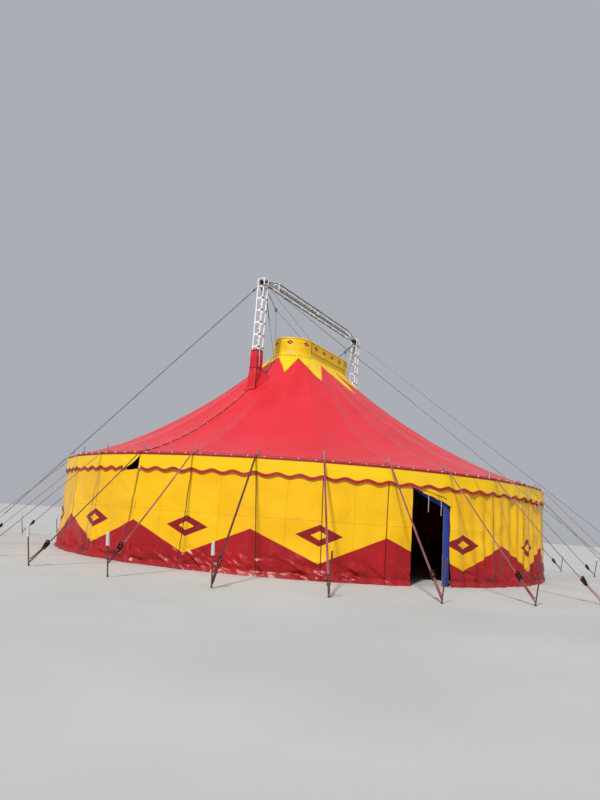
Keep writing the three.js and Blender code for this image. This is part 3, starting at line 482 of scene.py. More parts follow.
for side, name in ENDS:
    head = Vector((side * (MAST_X - 0.16), 0, MAST_TOP + 0.06))
    block = Vector((side * HOIST_BLOCK_X, 0, HOIST_BLOCK_Z))
    leg_bay = HOIST_LEG_BAY if side < 0 else HALF_TURN - HOIST_LEG_BAY
    on_ring = ring_point(leg_bay, -0.016, LEG_TOP)
    legs = [Vector((on_ring.x, way * abs(on_ring.y), LEG_TOP)) for way in (-1, 1)]
    wires, gear, ropes = bmesh.new(), bmesh.new(), bmesh.new()
    for offset in (-0.018, 0.018):
        add_tube(wires, head + ACROSS * offset, block + ACROSS * offset, HOIST_WIRE, 8)
    for leg in legs:
        add_tube(wires, block, leg, HOIST_WIRE, 8)
    make_piece(f"hoist_wires_{name}", wires, wire_rope, f"cupola_hoist_{name}")
    for cheek in (-ACROSS, ACROSS):
        add_tube(gear, block + cheek * 0.026, block + cheek * 0.034, 0.15, 20)
        add_block(gear, block + cheek * 0.03, (0.05, 0.008, 0.2))
    add_pin(gear, block, ACROSS * 0.018, 0.12, 20)
    add_pin(gear, block, ACROSS * 0.04, 0.024)
    add_block(gear, head, (0.02, 0.08, 0.08))
    for leg in legs:
        add_ring(gear, leg, (1, 0, 0), 0.05, 0.012)
        add_block(gear, leg - UP * 0.03, (0.022, 0.022, 0.04))
        add_tube(gear, leg + (block - leg) * 0.03, leg + (block - leg) * 0.1, HOIST_WIRE * 2, 8)
    make_piece(f"hoist_gear_{name}", gear, zinc_steel)
    far_leg = ring_point(leg_bay + (2 if side < 0 else -2), -0.02, CUPOLA_TOP + 0.02)
    upper, lower = Vector((side * (MAST_X - 0.2), -0.06, 10.6)), Vector((side * (MAST_X - 0.58), -0.06, 9.6))
    add_rope(ropes, [head + Vector((0, -0.05, 0.1)), far_leg], HAULING_ROPE)
    add_rope(ropes, [upper, lower], 0.034)
    add_rope(ropes, [lower, Vector((side * 3.12, -0.02, 7.95))], HAULING_ROPE)
    make_piece(f"hauling_ropes_{name}", ropes, grey_rope)


# Roof. Thirty-two gores of red tarpaulin are welded in eight panels and drawn taut over the poles.
# Polyester cloth coated with PVC on both sides: satin red, paler where sun and dust have worked on it.
BAY_ANGLE = 2 * math.pi / BAYS
PANEL_BAYS, COLUMNS = 4, 12
PANELS = BAYS // PANEL_BAYS
EAVE_RADIUS, EAVE_HEIGHT = 10.0, 3.32
ROOF_CURVE_SHARE, ROOF_CURVE_POWER, ROOF_SAG, ROOF_HEM = 0.62, 1.74, 0.05, 0.072
SEAM_RUN, SEAM_LENGTH = 10.3, 10.4
ROOF_BILLOW, CREASES, CREASE_REACH, CREASE_HEIGHT = 0.016, 11, 1.1, 0.011
CLOTH_THICKNESS, THREAD_MM = 0.003, 14
GORE_WIDTH = 2 * EAVE_RADIUS * math.sin(BAY_ANGLE / 2)
MAST_HOLE_HALF = 0.19


def pole_line(bay, radius, z):
    angle = math.pi + bay * BAY_ANGLE
    return Vector((radius * math.cos(angle), radius * math.sin(angle), z))


def drift(*place):
    """A value about 0 that changes slowly from place to place."""
    return noise.noise(Vector(place))


def seam_point(bay, share):
    rest = 1 - share
    bend = ROOF_CURVE_SHARE * rest ** ROOF_CURVE_POWER + (1 - ROOF_CURVE_SHARE) * rest
    point = ring_point(bay).lerp(pole_line(bay, EAVE_RADIUS, 0), share)
    point.z = EAVE_HEIGHT + (RING_HEIGHT - EAVE_HEIGHT) * bend
    return point


def roof_skin(bay, share, lift=0.0):
    """The roof from the hoop (share 0) to the eave (share 1), with its sag and its tension creases."""
    before = math.floor(bay)
    part = bay - before
    within = min(share, 1.0)
    point = seam_point(before, within).lerp(seam_point(before + 1, within), part)
    free = math.sin(math.pi * within)
    point.z -= ROOF_SAG * 4 * part * (1 - part) * free
    point.z += ROOF_BILLOW * free * drift(*(point * 0.8))
    point.z += 0.005 * free * drift(bay * 3.1, share * 4, 2.0)
    # Creases fan out from each pole top, where the load of the guy enters the cloth
    aside, inward = (part - round(part)) * GORE_WIDTH, (1 - within) * SEAM_RUN
    reach = math.hypot(aside, inward)
    fan = math.atan2(aside, inward + 0.05)
    strength = math.exp(-reach / CREASE_REACH) * min(reach / 0.3, 1) * (1 - within ** 40)
    point.z += CREASE_HEIGHT * strength * math.cos(CREASES * fan + math.floor(bay + 0.5) * 1.7)
    point.z += lift
    if share > 1:
        point += pole_line(bay, 0.012, 0) - UP * (share - 1)
    return point


def cloth(name, across, down, place, cut, materials, stands_for=None, kind=None, opening=None):
    """A sheet of cloth on a grid. Its "cut" measures are kept on it, for the pattern to follow."""
    grid = [(a, d) for a in across for d in down]
    rows = len(down)
    faces, kinds = [], []
    for i in range(len(across) - 1):
        for j in range(rows - 1):
            a, d = (across[i] + across[i + 1]) / 2, (down[j] + down[j + 1]) / 2
            if opening is None or not opening(a, d):
                corner = i * rows + j
                faces.append((corner, corner + rows, corner + rows + 1, corner + 1))
                kinds.append(kind(a, d) if kind else 0)
    mesh = bpy.data.meshes.new(name)
    mesh.from_pydata([place(a, d) for a, d in grid], [], faces)
    measures = mesh.attributes.new("cut", "FLOAT_VECTOR", "POINT")
    measures.data.foreach_set("vector", [value for a, d in grid for value in cut(a, d)])
    mesh.polygons.foreach_set("material_index", kinds)
    if sum(face.normal.dot(face.center) for face in mesh.polygons) < 0:
        mesh.flip_normals()
    for material in materials:
        mesh.materials.append(material)
    mesh.shade_smooth()
    uses = [0] * len(mesh.edges)
    for loop in mesh.loops:
        uses[loop.edge_index] += 1
    sharp = mesh.attributes.new("sharp_edge", "BOOLEAN", "EDGE")
    sharp.data.foreach_set("value", [count < 2 for count in uses])
    sheet = put_together(name, mesh, stands_for)
    body = sheet.modifiers.new("cloth thickness", "SOLIDIFY")
    body.thickness, body.offset = CLOTH_THICKNESS, -1
    return sheet


def cut_measures(tree):
    """The three measures kept on a sheet or a strap."""
    kept = add_node(tree, "Attribute", attribute_name="cut")
    return add_node(tree, "SeparateXYZ", (kept.outputs["Vector"],)).outputs


def cloth_material(name, bay_width):
    """A new material with the cut measures: bays across, metres down, a third one, the flat place."""
    material, tree = new_material(name)
    bay, down, third = cut_measures(tree)
    metres = add_node(tree, "Math", (bay, bay_width), operation="MULTIPLY")
    return material, tree, bay, down, third, add_node(tree, "CombineXYZ", (metres, down))


def stripe(tree, distance, half_width, soft=0.3):
    """1 on a line and 0 beside it, from the distance to its middle."""
    off = add_node(tree, "Math", (distance,), operation="ABSOLUTE")
    return add_node(tree, "MapRange", (off, half_width * (1 - soft), half_width * (1 + soft), 1.0, 0.0))


def coated_cloth(tree, colour, flat, seam_and_shade_line, seam_and_shade_mark, dust, gloss, crease, sheen=0.0):
    """Finish of PVC-coated polyester: streaked dust, thread relief, soft creases, and dark raised lines:
    welded seams, and on some cloths painted shade along an edge.
    """
    # Streaks 140 mm apart run down the cloth over clouds of 1.1 m; its soft folds are 450 mm apart
    turned = add_node(tree, "Mapping", {"Vector": flat, "Scale": (1.0, 0.12, 1.0)})
    streaks = add_node(tree, "TexNoise", {"Vector": turned, "Scale": 7.0, "Detail": 6.0})
    clouds = add_node(tree, "TexNoise", {"Vector": flat, "Scale": 0.9, "Detail": 4.0})
    both = add_node(tree, "Math", (streaks, clouds), operation="MULTIPLY")
    amount = add_node(tree, "MapRange", (both, 0.16, 0.42, 0.0, dust))
    seam_and_shade_marks = add_node(tree, "Math", (seam_and_shade_line, seam_and_shade_mark), operation="MULTIPLY")
    # Threads about 1 mm apart are too fine to show, so they are drawn THREAD_MM apart
    threads = add_node(tree, "TexNoise", {"Vector": flat, "Scale": 1000 / THREAD_MM, "Detail": 1.0})
    folds = add_node(tree, "TexNoise", {"Vector": flat, "Scale": 2.2, "Detail": 3.0, "Distortion": 0.8})
    relief = add_node(tree, "Math", (threads, 0.0006), operation="MULTIPLY")
    bent = add_node(tree, "Math", (folds, crease, relief), operation="MULTIPLY_ADD")
    raised = add_node(tree, "Math", (seam_and_shade_line, 0.0015, bent), operation="MULTIPLY_ADD")
    close_material(tree, (raised, 1.0, 1.0), IOR=1.5, Specular_IOR_Level=0.35,
                   Base_Color=coats(tree, colour, (amount, "#a88f76"), (seam_and_shade_marks, "#4a150d")),
                   Roughness=add_node(tree, "MapRange", (both, 0.15, 0.4, gloss, gloss + 0.22)),
                   Sheen_Weight=sheen, Sheen_Roughness=0.25)


# Red tarpaulin: a deep satin red, pale at a flat angle, with a welded seam on every pole line
roof_red, tree, bay, down, width, flat = cloth_material("pvc_tarpaulin_red", GORE_WIDTH)
nearest = add_node(tree, "Math", (bay, 0.5), operation="PINGPONG")
beside = add_node(tree, "Math", (nearest, width), operation="MULTIPLY")
# The hem that hangs over the edge of the roof is out of the sun, and darker
hem = add_node(tree, "MapRange", (down, SEAM_LENGTH + 0.01, SEAM_LENGTH + 0.05))
colour = coats(tree, "#d00f24", (patches(tree, 2600, where=flat), "#d91c31"), (hem, "#8d101c"))
coated_cloth(tree, colour, flat, stripe(tree, beside, 0.02), seam_and_shade_mark=0.06, dust=0.05, gloss=0.36,
             crease=0.02, sheen=0.3)
roof_shares = steps(0, 0.9, 34) + steps(0.9, 1, 8)[1:] + [1.004, 1.0 + ROOF_HEM / 2, 1.0 + ROOF_HEM]


def roof_cut(bay, share):
    before, within = math.floor(bay), min(share, 1.0)
    gore_width = (seam_point(before + 1, within) - seam_point(before, within)).length
    return bay, share * SEAM_LENGTH, gore_width


def mast_stands_at(bay, share):
    place = roof_skin(bay, share)
    return abs(abs(place.x) - MAST_X) < MAST_HOLE_HALF and abs(place.y) < MAST_HOLE_HALF


for panel in range(PANELS):
    first = panel * PANEL_BAYS
    sheet = cloth(f"roof_cloth_{panel + 1}", steps(first, first + PANEL_BAYS, PANEL_BAYS * COLUMNS),
                  roof_shares, roof_skin, roof_cut, [roof_red], f"roof_panel_{panel + 1}",
                  opening=mast_stands_at)


# Ridge lacing. On the ridge line two roof panels overlap and are laced through loops of white rope.
# The flap is one more strip of the roof's tarpaulin, with painted shade along both edges where it stands off.
LACING_WIDTH, LACING_PITCH = 0.1, 0.42
LACING_START, LACING_END = MAST_X + 0.3, 9.93

# The roof once more on a coarser grid, to find its height over any place
roof_bays, roof_levels = steps(0, BAYS, BAYS * 6), steps(0, 1, 40)
rows = len(roof_levels)
roof_map = BVHTree.FromPolygons(
    [roof_skin(bay, share) for bay in roof_bays for share in roof_levels],
    [(i * rows + j, (i + 1) * rows + j, (i + 1) * rows + j + 1, i * rows + j + 1)
     for i in range(len(roof_bays) - 1) for j in range(rows - 1)])


def roof_height(x, y):
    """Height of the roof cloth over a place on the ground."""
    return roof_map.ray_cast(Vector((x, y, 20)), -UP)[0].z


# Red tarpaulin strip, darker along its edges as painted shade where it stands off the roof
flap_red, tree, aside, *_, flat = cloth_material("pvc_tarpaulin_flap", 1.0)
edges = [stripe(tree, add_node(tree, "Math", (aside, edge), operation="SUBTRACT"), 0.014)
         for edge in (LACING_WIDTH / 2, -LACING_WIDTH / 2)]
edge_shade = add_node(tree, "Math", edges, operation="MAXIMUM")
coated_cloth(tree, coats(tree, "#bd1420", (edge_shade, "#6b1015")), flat, edge_shade, seam_and_shade_mark=0.2, dust=0.15,
             gloss=0.4, crease=0.01)

white_rope = laid_rope("laid_rope_white", "#f1efe8", "#c9c5ba")

for side, name in ENDS:
    def on_flap(aside, along):
        bulge = 0.012 + 0.014 * (1 - (2 * aside / LACING_WIDTH) ** 2)
        return Vector((side * along, aside, roof_height(side * along, aside) + bulge))

    strip = cloth(f"ridge_flap_{name}", steps(-LACING_WIDTH / 2, LACING_WIDTH / 2, 6),
                  steps(LACING_START, LACING_END, 60), on_flap, lambda aside, along: (aside, along, 0.0),
                  [flap_red])
    loops = bmesh.new()
    along = LACING_START + 0.3
    while along < LACING_END - 0.03:
        for way in (-1, 1):
            x, y = side * along, way * LACING_WIDTH * 0.62
            add_ring(loops, (x, y, roof_height(x, y) + 0.018), (0, 0.35 * way, 1), 0.045, 0.01, 12)
        along += LACING_PITCH
    make_piece(f"lacing_loops_{name}", loops, white_rope)


# Collar. A star of yellow tarpaulin lies over the top of the roof, with a piped edge.
# It stands up a little inside the cupola's cloth, so that no rain gets in, and its tips are sewn down.
COLLAR_NOTCH, COLLAR_LIFT, COLLAR_LIP, PIPING = 0.035, 0.009, 0.195, 0.014
COLLAR_EDGE = [(0, COLLAR_NOTCH), (1.333, 0.155), (2.03, COLLAR_NOTCH), (4, 0.19),
               (5.33, COLLAR_NOTCH), (6.667, 0.22), (QUARTER_BAYS, COLLAR_NOTCH)]

one_side = COLLAR_EDGE + [(HALF_TURN - bay, share) for bay, share in COLLAR_EDGE[-2:0:-1]]
collar_corners = one_side + [(HALF_TURN + bay, share) for bay, share in one_side] + [(BAYS, COLLAR_NOTCH)]
collar_sides = list(zip(collar_corners, collar_corners[1:]))
collar_bays = [bay for (start, _), (end, _) in collar_sides for bay in steps(start, end, 12)[:-1]]


def roof_plan(bay, share):
    """A place of the roof seen from straight above."""
    before = math.floor(bay)
    return seam_point(before, share).lerp(seam_point(before + 1, share), bay - before).to_2d()


def collar_edge(bay):
    """How far down the roof the collar reaches: in plan it runs straight from notch to tip."""
    (start, near), (end, far) = next(side for side in collar_sides if bay <= side[1][0])
    first, hoop = roof_plan(start, near), roof_plan(bay, 0)
    across, down, gap = roof_plan(end, far) - first, roof_plan(bay, 1) - hoop, first - hoop
    return (gap.x * across.y - gap.y * across.x) / (down.x * across.y - down.y * across.x)


def collar_place(bay, d):
    """d runs from -1 at the lip through 0 at the hoop to 1 at the sewn edge."""
    if d < 0:
        return ring_point(bay, 0.004, RING_HEIGHT + COLLAR_LIFT - d * COLLAR_LIP)
    return roof_skin(bay, d * collar_edge(bay), COLLAR_LIFT)


def collar_cut(bay, d):
    length = collar_edge(bay) * SEAM_LENGTH
    return bay, d * (length if d > 0 else COLLAR_LIP), (1 - d) * length


# Yellow tarpaulin: a clear warm yellow with a satin shine, and a darker stitched hem
yellow_cloth, tree, _, _, from_edge, flat = cloth_material("pvc_tarpaulin_yellow", RING_BAY)
colour = coats(tree, "#f0bd00", (patches(tree, 900, where=flat), "#f6cb00"))
coated_cloth(tree, colour, flat, stripe(tree, from_edge, 0.012), seam_and_shade_mark=0.3, dust=0.04, gloss=0.32,
             crease=0.012)
collar = cloth("collar_cloth", collar_bays + [BAYS], [-1, -0.5, -0.1] + steps(0, 1, 14), collar_place,
               collar_cut, [yellow_cloth], "roof_collar")
piping = bmesh.new()
add_rope(piping, [roof_skin(bay, collar_edge(bay), COLLAR_LIFT + 0.003) for bay in collar_bays], PIPING,
         closed=True)
make_piece("collar_piping", piping, yellow_cloth)


# Cupola cloth. Yellow tarpaulin is laced round the hoops: down to the roof at the round ends, and
# only half way along the flat sides, so that warm air can leave. Small red diamonds are welded on.
CUPOLA_SIDE_LOW, CUPOLA_END_LOW, CUPOLA_SKIN_OUT = 8.79, 8.52, 0.0115
CUPOLA_FLARE_TOP, CUPOLA_FLARE = 8.76, 0.07
CUPOLA_END_BAYS, CUPOLA_GAP_BAYS = 3.7, 0.15
CUPOLA_RISE, COVER_LIP = 0.11, 0.05
DIAMOND_PITCH_BAYS, DIAMOND_SHIFT_BAYS, DIAMOND_MIDDLE = 2, 0.8, 9.06
DIAMOND_WIDTH, DIAMOND_HEIGHT = 0.31, 0.21

# Yellow tarpaulin with welded diamonds of deep red, each with a small yellow middle
diamond_cloth, tree, bay, height, _, flat = cloth_material("pvc_tarpaulin_diamonds", RING_BAY)
shifted = add_node(tree, "Math", (bay, -DIAMOND_SHIFT_BAYS), operation="ADD")
# The ping-pong is 0 at a diamond's middle, all the way round
aside = add_node(tree, "Math", (shifted, DIAMOND_PITCH_BAYS / 2), operation="PINGPONG")
wide = add_node(tree, "Math", (aside, RING_BAY * 2 / DIAMOND_WIDTH), operation="MULTIPLY")
above = add_node(tree, "Math", (height, DIAMOND_MIDDLE), operation="SUBTRACT")
off = add_node(tree, "Math", (above,), operation="ABSOLUTE")
far = add_node(tree, "Math", (off, 2 / DIAMOND_HEIGHT, wide), operation="MULTIPLY_ADD")
diamond, heart = stripe(tree, far, 1.0, 0.04), stripe(tree, far, 0.3, 0.1)
yellow = coats(tree, "#efbc00", (patches(tree, 700, where=flat), "#f4c900"))
coated_cloth(tree, coats(tree, yellow, (diamond, "#8e1620"), (heart, yellow)), flat,
             stripe(tree, above, 0.004), seam_and_shade_mark=0.3, dust=0.05, gloss=0.32, crease=0.016)


def cupola_skin(bay, height):
    """Cloth on the hoops: slanting creases, and at the round ends a foot that turns out on the collar."""
    held = (CUPOLA_TOP - height) / (CUPOLA_TOP - CUPOLA_END_LOW)
    slant = math.sin((bay * RING_BAY + (height - 9) * 0.9) * 13) * 0.007
    loose = drift(bay * 0.9, height * 2, 4) * 0.02
    out = CUPOLA_SKIN_OUT + (abs(slant) + abs(loose)) * math.sin(math.pi * min(held, 0.9))
    turned = max((CUPOLA_FLARE_TOP - height) / (CUPOLA_FLARE_TOP - CUPOLA_END_LOW), 0)
    point = ring_point(bay, out + CUPOLA_FLARE * turned ** 2, height)
    if turned:
        on_collar = roof_height(point.x, point.y) + COLLAR_LIFT + 0.006
        point.z = max(point.z + (on_collar - point.z) * turned ** 2, on_collar)
    return point


side_start = CUPOLA_END_BAYS + CUPOLA_GAP_BAYS
cupola_parts = [
    ("end_west", -CUPOLA_END_BAYS, CUPOLA_END_BAYS, CUPOLA_END_LOW, (2.79, 0.68)),
    ("end_east", HALF_TURN - CUPOLA_END_BAYS, HALF_TURN + CUPOLA_END_BAYS, CUPOLA_END_LOW, (2.79, 0.68)),
    ("side_front", side_start, HALF_TURN - side_start, CUPOLA_SIDE_LOW, (3.13, 0.48)),
    ("side_back", HALF_TURN + side_start, BAYS - side_start, CUPOLA_SIDE_LOW, (3.13, 0.48)),
]
for name, start, end, low, flat_size in cupola_parts:
    skin = cloth(f"cupola_cloth_{name}", steps(start, end, 80), steps(CUPOLA_TOP, low, 16), cupola_skin,
                 lambda bay, height: (bay, height, 0.0), [diamond_cloth], f"cupola_{name}")


def cover_place(bay, d):
    """From the lip outside the hoop (0) over its edge (1) to the middle line (2)."""
    if d < 1:
        return ring_point(bay, 0.024 + 0.004 * math.sin(bay * 5), CUPOLA_TOP + 0.012 - (1 - d) * COVER_LIP)
    edge = ring_point(bay, 0.02, CUPOLA_TOP + 0.014)
    spine = Vector((math.copysign(min(abs(edge.x), RING_HALF_LENGTH), edge.x), 0, 0))
    inward = d - 1
    point = edge.lerp(spine, inward)
    sag = 0.01 * math.sin(math.pi * inward) * drift(*(point * 2.4))
    point.z = edge.z + CUPOLA_RISE * (1 - (1 - inward) ** 1.7) + sag
    return point


cover = cloth("cupola_cover_cloth", steps(0, BAYS, 160), [0, 0.5, 1] + steps(1, 2, 12)[1:], cover_place,
              lambda bay, d: (bay, d * 0.5, 0.2 if d >= 1 else 0.012 * d), [yellow_cloth],
              "cupola_cover")
# Loops of black cord hold the foot of the cloth: to the collar at the ends, to the hoop at the sides
lacing = bmesh.new()
for name, start, end, low, _ in cupola_parts:
    for bay in steps(start + 0.15, end - 0.15, 18):
        out = ring_point(bay) - ring_point(bay, -1)
        if low == CUPOLA_END_LOW:
            on_collar = roof_skin(bay % BAYS, 0.02, COLLAR_LIFT + 0.006)
            add_ring(lacing, on_collar, out + UP * 0.7, 0.05, 0.016, 10)
        else:
            add_ring(lacing, cupola_skin(bay, low + 0.03), out, 0.03, 0.008, 10)
make_piece("cupola_lacing_loops", lacing, black_nylon)


# Mast sleeves. A boot of red tarpaulin closes the roof round each mast, tied tight at its top and
# its waist, with a gusset at both inner corners. It closes along one corner, which leaves a dark slit.
SLEEVE_TOP, SLEEVE_TOP_HALF = 8.17, 0.184
SLEEVE_WAIST, SLEEVE_WAIST_HALF = 7.42, 0.198
SLEEVE_FOOT_HALF, SLEEVE_FOOT_LIFT = 0.212, 0.014
SLEEVE_CORNER, SLEEVE_GIRTH, SLIT_TURN = 0.36, 1.6, 0.625
APRON_STEPS = [1.02, 1.05, 1.1]
GUSSET_REACH = 0.46

# Red tarpaulin kept out of the sun by its folds: deeper than the roof and a little duller
sleeve_red, tree, around, _, from_shaded_edge, flat = cloth_material("pvc_tarpaulin_sleeve", 1.0)
# The slit along the closing corner is a dark line of painted shade
slit = add_node(tree, "Math", (around, SLIT_TURN * SLEEVE_GIRTH), operation="SUBTRACT")
colour = coats(tree, "#c61322", (patches(tree, 500, where=flat), "#d61d2c"),
               (stripe(tree, slit, 0.02), "#3c060b"))
# The dark line along the foot of the apron and the low edges of the gussets is painted shade of the gap under
# them
coated_cloth(tree, colour, flat, stripe(tree, from_shaded_edge, 0.014), seam_and_shade_mark=0.5, dust=0.04, gloss=0.38,
             crease=0.02)
red_cord = laid_rope("laid_rope_red", "#8a1820", "#4f0d12")


def square_turn(turn, half):
    """A place on a square with round corners, by its turn from 0 to 1."""
    angle = 2 * math.pi * turn
    c, s = math.cos(angle), math.sin(angle)
    power = 2 / SLEEVE_CORNER
    radius = half / (abs(c) ** power + abs(s) ** power) ** (1 / power)
    return radius * c, radius * s


def sleeve_half(z):
    if z > SLEEVE_WAIST:
        rise = (z - SLEEVE_WAIST) / (SLEEVE_TOP - SLEEVE_WAIST)
        bulge = 0.02 * math.sin(math.pi * rise) ** 2
        return SLEEVE_WAIST_HALF + (SLEEVE_TOP_HALF - SLEEVE_WAIST_HALF) * rise + bulge
    fall = min((SLEEVE_WAIST - z) / 0.8, 1.0)
    bulge = 0.012 * math.sin(math.pi * fall)
    return SLEEVE_WAIST_HALF + (SLEEVE_FOOT_HALF - SLEEVE_WAIST_HALF) * fall + bulge


for side, name in ENDS:
    centre = Vector((side * MAST_X, 0, 0))

    def sleeve_place(turn, d):
        """d runs from 0 at the top to 1 where the cloth turns out on to the roof, and to 1.1."""
        x, y = square_turn(turn, SLEEVE_FOOT_HALF)
        foot = roof_height(centre.x + x, centre.y + y) + SLEEVE_FOOT_LIFT
        z = SLEEVE_TOP + (foot - SLEEVE_TOP) * min(d, 1)
        half = sleeve_half(z)
        gather = math.exp(-abs(z - SLEEVE_WAIST) / 0.14) + math.exp(-abs(z - SLEEVE_TOP) / 0.1)
        fold = 0.008 * gather * math.cos(2 * math.pi * turn * 24 + 3 * math.sin(z * 5))
        crease = 0.02 * drift(turn * 9, z * 2.5, 1.0)
        half += max(fold + crease * math.sin(math.pi * min(d, 1)), -0.008)
        # The apron is short, but down the slope it hangs longer, as a round tongue
        tongue = max(side * math.cos(2 * math.pi * turn), 0) ** 3
        half += max(d - 1, 0) * (0.35 + 1.5 * tongue)
        x, y = square_turn(turn, half)
        if d > 1:
            z = roof_height(centre.x + x, centre.y + y) + SLEEVE_FOOT_LIFT + 0.2 * (d - 1)
        return Vector((centre.x + x, centre.y + y, z))

    # The third measure is 0 at the apron's edge, which is darkened there as painted shade
    boot = cloth(f"sleeve_cloth_{name}", steps(0, 1, 144), steps(0, 1, 48) + APRON_STEPS, sleeve_place,
                 lambda turn, d: (turn * SLEEVE_GIRTH, d * 1.5, (1.1 - d) * 0.5), [sleeve_red],
                 f"mast_sleeve_{name}")

    for way, hand in ((-1, "front"), (1, "back")):
        corner = Vector((-side * 0.18, way * 0.185, SLEEVE_WAIST - 0.02))
        tip = Vector((-side * GUSSET_REACH, way * GUSSET_REACH * 0.94, 0))
        feet = (Vector((side * 0.21, way * 0.225, 0)), Vector((-side * 0.225, way * 0.02, 0)))

        def gusset_place(d, out):
            """From the corner of the sleeve (d 0) down to the tip on the roof (1), over its crest."""
            def low(place):
                return Vector((place.x, place.y, roof_height(place.x, place.y) + 0.012))
            crest = (centre + corner).lerp(low(centre + tip), d)
            foot = low(centre + feet[0 if out < 0 else 1].lerp(tip, d))
            point = crest.lerp(foot, abs(out))
            point.z = max(point.z - 0.03 * math.sin(math.pi * abs(out)) * (1 - d), low(point).z)
            return point

        # The third measure is 0 at the gusset's low edges, which are darkened there as painted shade
        gusset = cloth(f"sleeve_gusset_{name}_{hand}", steps(0, 1, 16), steps(-1, 1, 16), gusset_place,
                       lambda d, out: (d, out * 0.6, 0.3 * (1 - abs(out))), [sleeve_red])
    ties, cord = bmesh.new(), bmesh.new()
    for z in (SLEEVE_TOP - 0.035, SLEEVE_TOP - 0.05, SLEEVE_WAIST - 0.012, SLEEVE_WAIST + 0.012):
        half = sleeve_half(z) + 0.01
        add_rope(cord, [centre + Vector((*square_turn(turn, half), z)) for turn in steps(0, 1, 48)[:-1]],
                 0.012, closed=True)
    make_piece(f"sleeve_cords_{name}", cord, red_cord)
    knot = centre + Vector((-0.15, -0.21, SLEEVE_TOP - 0.04))
    for tilt in ((1, 0.3, 0.2), (0.2, 1, 0.5)):
        add_ring(ties, knot, tilt, 0.035, 0.013, 12)
    for hand, drop in ((-1, 0.3), (1, 0.66)):
        add_rope(ties, [knot, knot + Vector((0.025 * hand, -0.02, -0.07)),
                        knot + Vector((0.025 * hand + 0.02, -0.02, -drop))], 0.015)
    make_piece(f"sleeve_ties_{name}", ties, white_rope)


# Side poles. Steel tube dipped in zinc, with a bare spike on top that passes through the roof's edge.
# A steel ring round each spike spreads the load on the cloth, and a second one holds the strap.
POLE_RADIUS = 9.825


def roof_share(bay, radius):
    """Where on a seam the roof is at the given distance from the middle of the tent."""
    hoop = ring_point(bay).dot(pole_line(bay, 1, 0))
    return (radius - hoop) / (EAVE_RADIUS - hoop)


for quarter in range(4):
    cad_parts[f"side_poles_{quarter + 1}"].material_slots[0].material = zinc_steel
    rings = bmesh.new()
    for pole in range(quarter * QUARTER_BAYS, (quarter + 1) * QUARTER_BAYS):
        foot = pole_line(pole, POLE_RADIUS, roof_skin(pole, roof_share(pole, POLE_RADIUS), 0.012).z)
        add_ring(rings, foot + UP * 0.005, UP, 0.08, 0.016)
        add_ring(rings, foot + UP * 0.05, (0.2, 0.1, 1), 0.056, 0.012)
    make_piece(f"spike_rings_{quarter + 1}", rings, zinc_steel)


# Guys. A red belt of webbing runs round the roof on top of its edge, and from each pole top a strap
# goes down to a steel stake. The straps, once red, have faded; a black ratchet draws each one tight.
GUY_WIDTH, GUY_THICKNESS, GUY_EDGE_RADIUS, GUY_SAG = 0.056, 0.005, 10.02, 0.05
GUY_LOW_END, GUY_TIED_HIGH = 0.09, {1: 0.32}
ON_ROOF_RADII = (9.76, 9.8, 9.88, 9.94, 9.99)
STAKE_RADIUS, STAKE_HEIGHT, STAKE_DIAMETER, STAKE_LEAN = 13.28, 1.0, 0.034, 0.2
BELT_INNER, BELT_OUTER = 9.842, 9.902
RATCHET_HEIGHTS = (0.55, 0.66, 0.62, 0.40)
RATCHET_PLATE, HANDLE_PLATE, HANDLE_TILT = (0.22, 0.006, 0.07), (0.17, 0.006, 0.04), math.radians(14)
SPOOL, ROLLED_UP, BOLT, STRAP_LOOP = 0.03, 0.056, 0.018, 0.024
CAP_HEIGHT, RIBS, RIB_PITCH = 0.3, 6, 0.032
# Two straps are painted dark as shade, since they hang in shadow
BARE_STAKES, SHADED_STRAPS = (3, 4, 5, 6), (0, 2)
RIB_MM = 9


def polyester_webbing(name, fresh, faded, worn_edge, new="#4e191b"):
    """Woven webbing: ribs across it and a fluffy, matt face that fades and frays at its edges. The colour new
    is painted shade, for a strap that hangs in shadow.
    """
    material, tree = new_material(name)
    aside, run, shade_share = cut_measures(tree)
    # Ribs about 1.5 mm apart are too fine to show, so they are drawn RIB_MM apart
    counted = add_node(tree, "Math", (run, 2000 / RIB_MM), operation="MULTIPLY")
    ribs = add_node(tree, "Math", (counted, 1.0), operation="PINGPONG")
    edge = add_node(tree, "Math", (aside,), operation="ABSOLUTE")
    worn = add_node(tree, "MapRange", (edge, 0.018, 0.025, 0.0, 0.5))
    # A strap whose third measure is 1 is painted dark all along, as shade: it hangs in shadow
    colour = coats(tree, fresh, (patches(tree, 380), faded), (worn, worn_edge), (shade_share, new))
    close_material(tree, (ribs, 0.5, 0.001), Base_Color=colour, Roughness=0.82, Sheen_Weight=0.2,
                   Sheen_Roughness=0.4)
    return material


def rusting_steel(name, clean, least, most):
    """Bare steel: dark and oily where it is handled, brown with rust where it isn't."""
    material, tree = new_material(name)
    rust = patches(tree, 70, least, most, detail=6.0)
    close_material(tree, (patches(tree, 5), 0.4, 0.001), Base_Color=coats(tree, clean, (rust, "#6e4230")),
                   Metallic=add_node(tree, "MapRange", (rust, 0.0, 1.0, 0.7, 0.0)),
                   Roughness=add_node(tree, "MapRange", (rust, 0.0, 1.0, 0.4, 0.85)))
    return material


webbing = polyester_webbing("woven_webbing_faded", "#682528", "#945250", "#a87672")
belt_webbing = polyester_webbing("woven_webbing_red", "#8c1019", "#a31a24", "#b04048")
ratchet_steel = rusting_steel("blackened_steel", "#1b1b1d", 0.0, 0.35)
stake_steel = rusting_steel("rusting_steel", "#4a4541", 0.35, 1.0)

# Grey-white rubber of the stake caps: matt, and scuffed grey in patches
cap_rubber, tree = new_material("rubber_cap")
scuffs = patches(tree, 35, 0.0, 0.7, detail=6.0)
close_material(tree, Base_Color=coats(tree, "#d9dadb", (scuffs, "#9ea0a2")), Roughness=0.6)


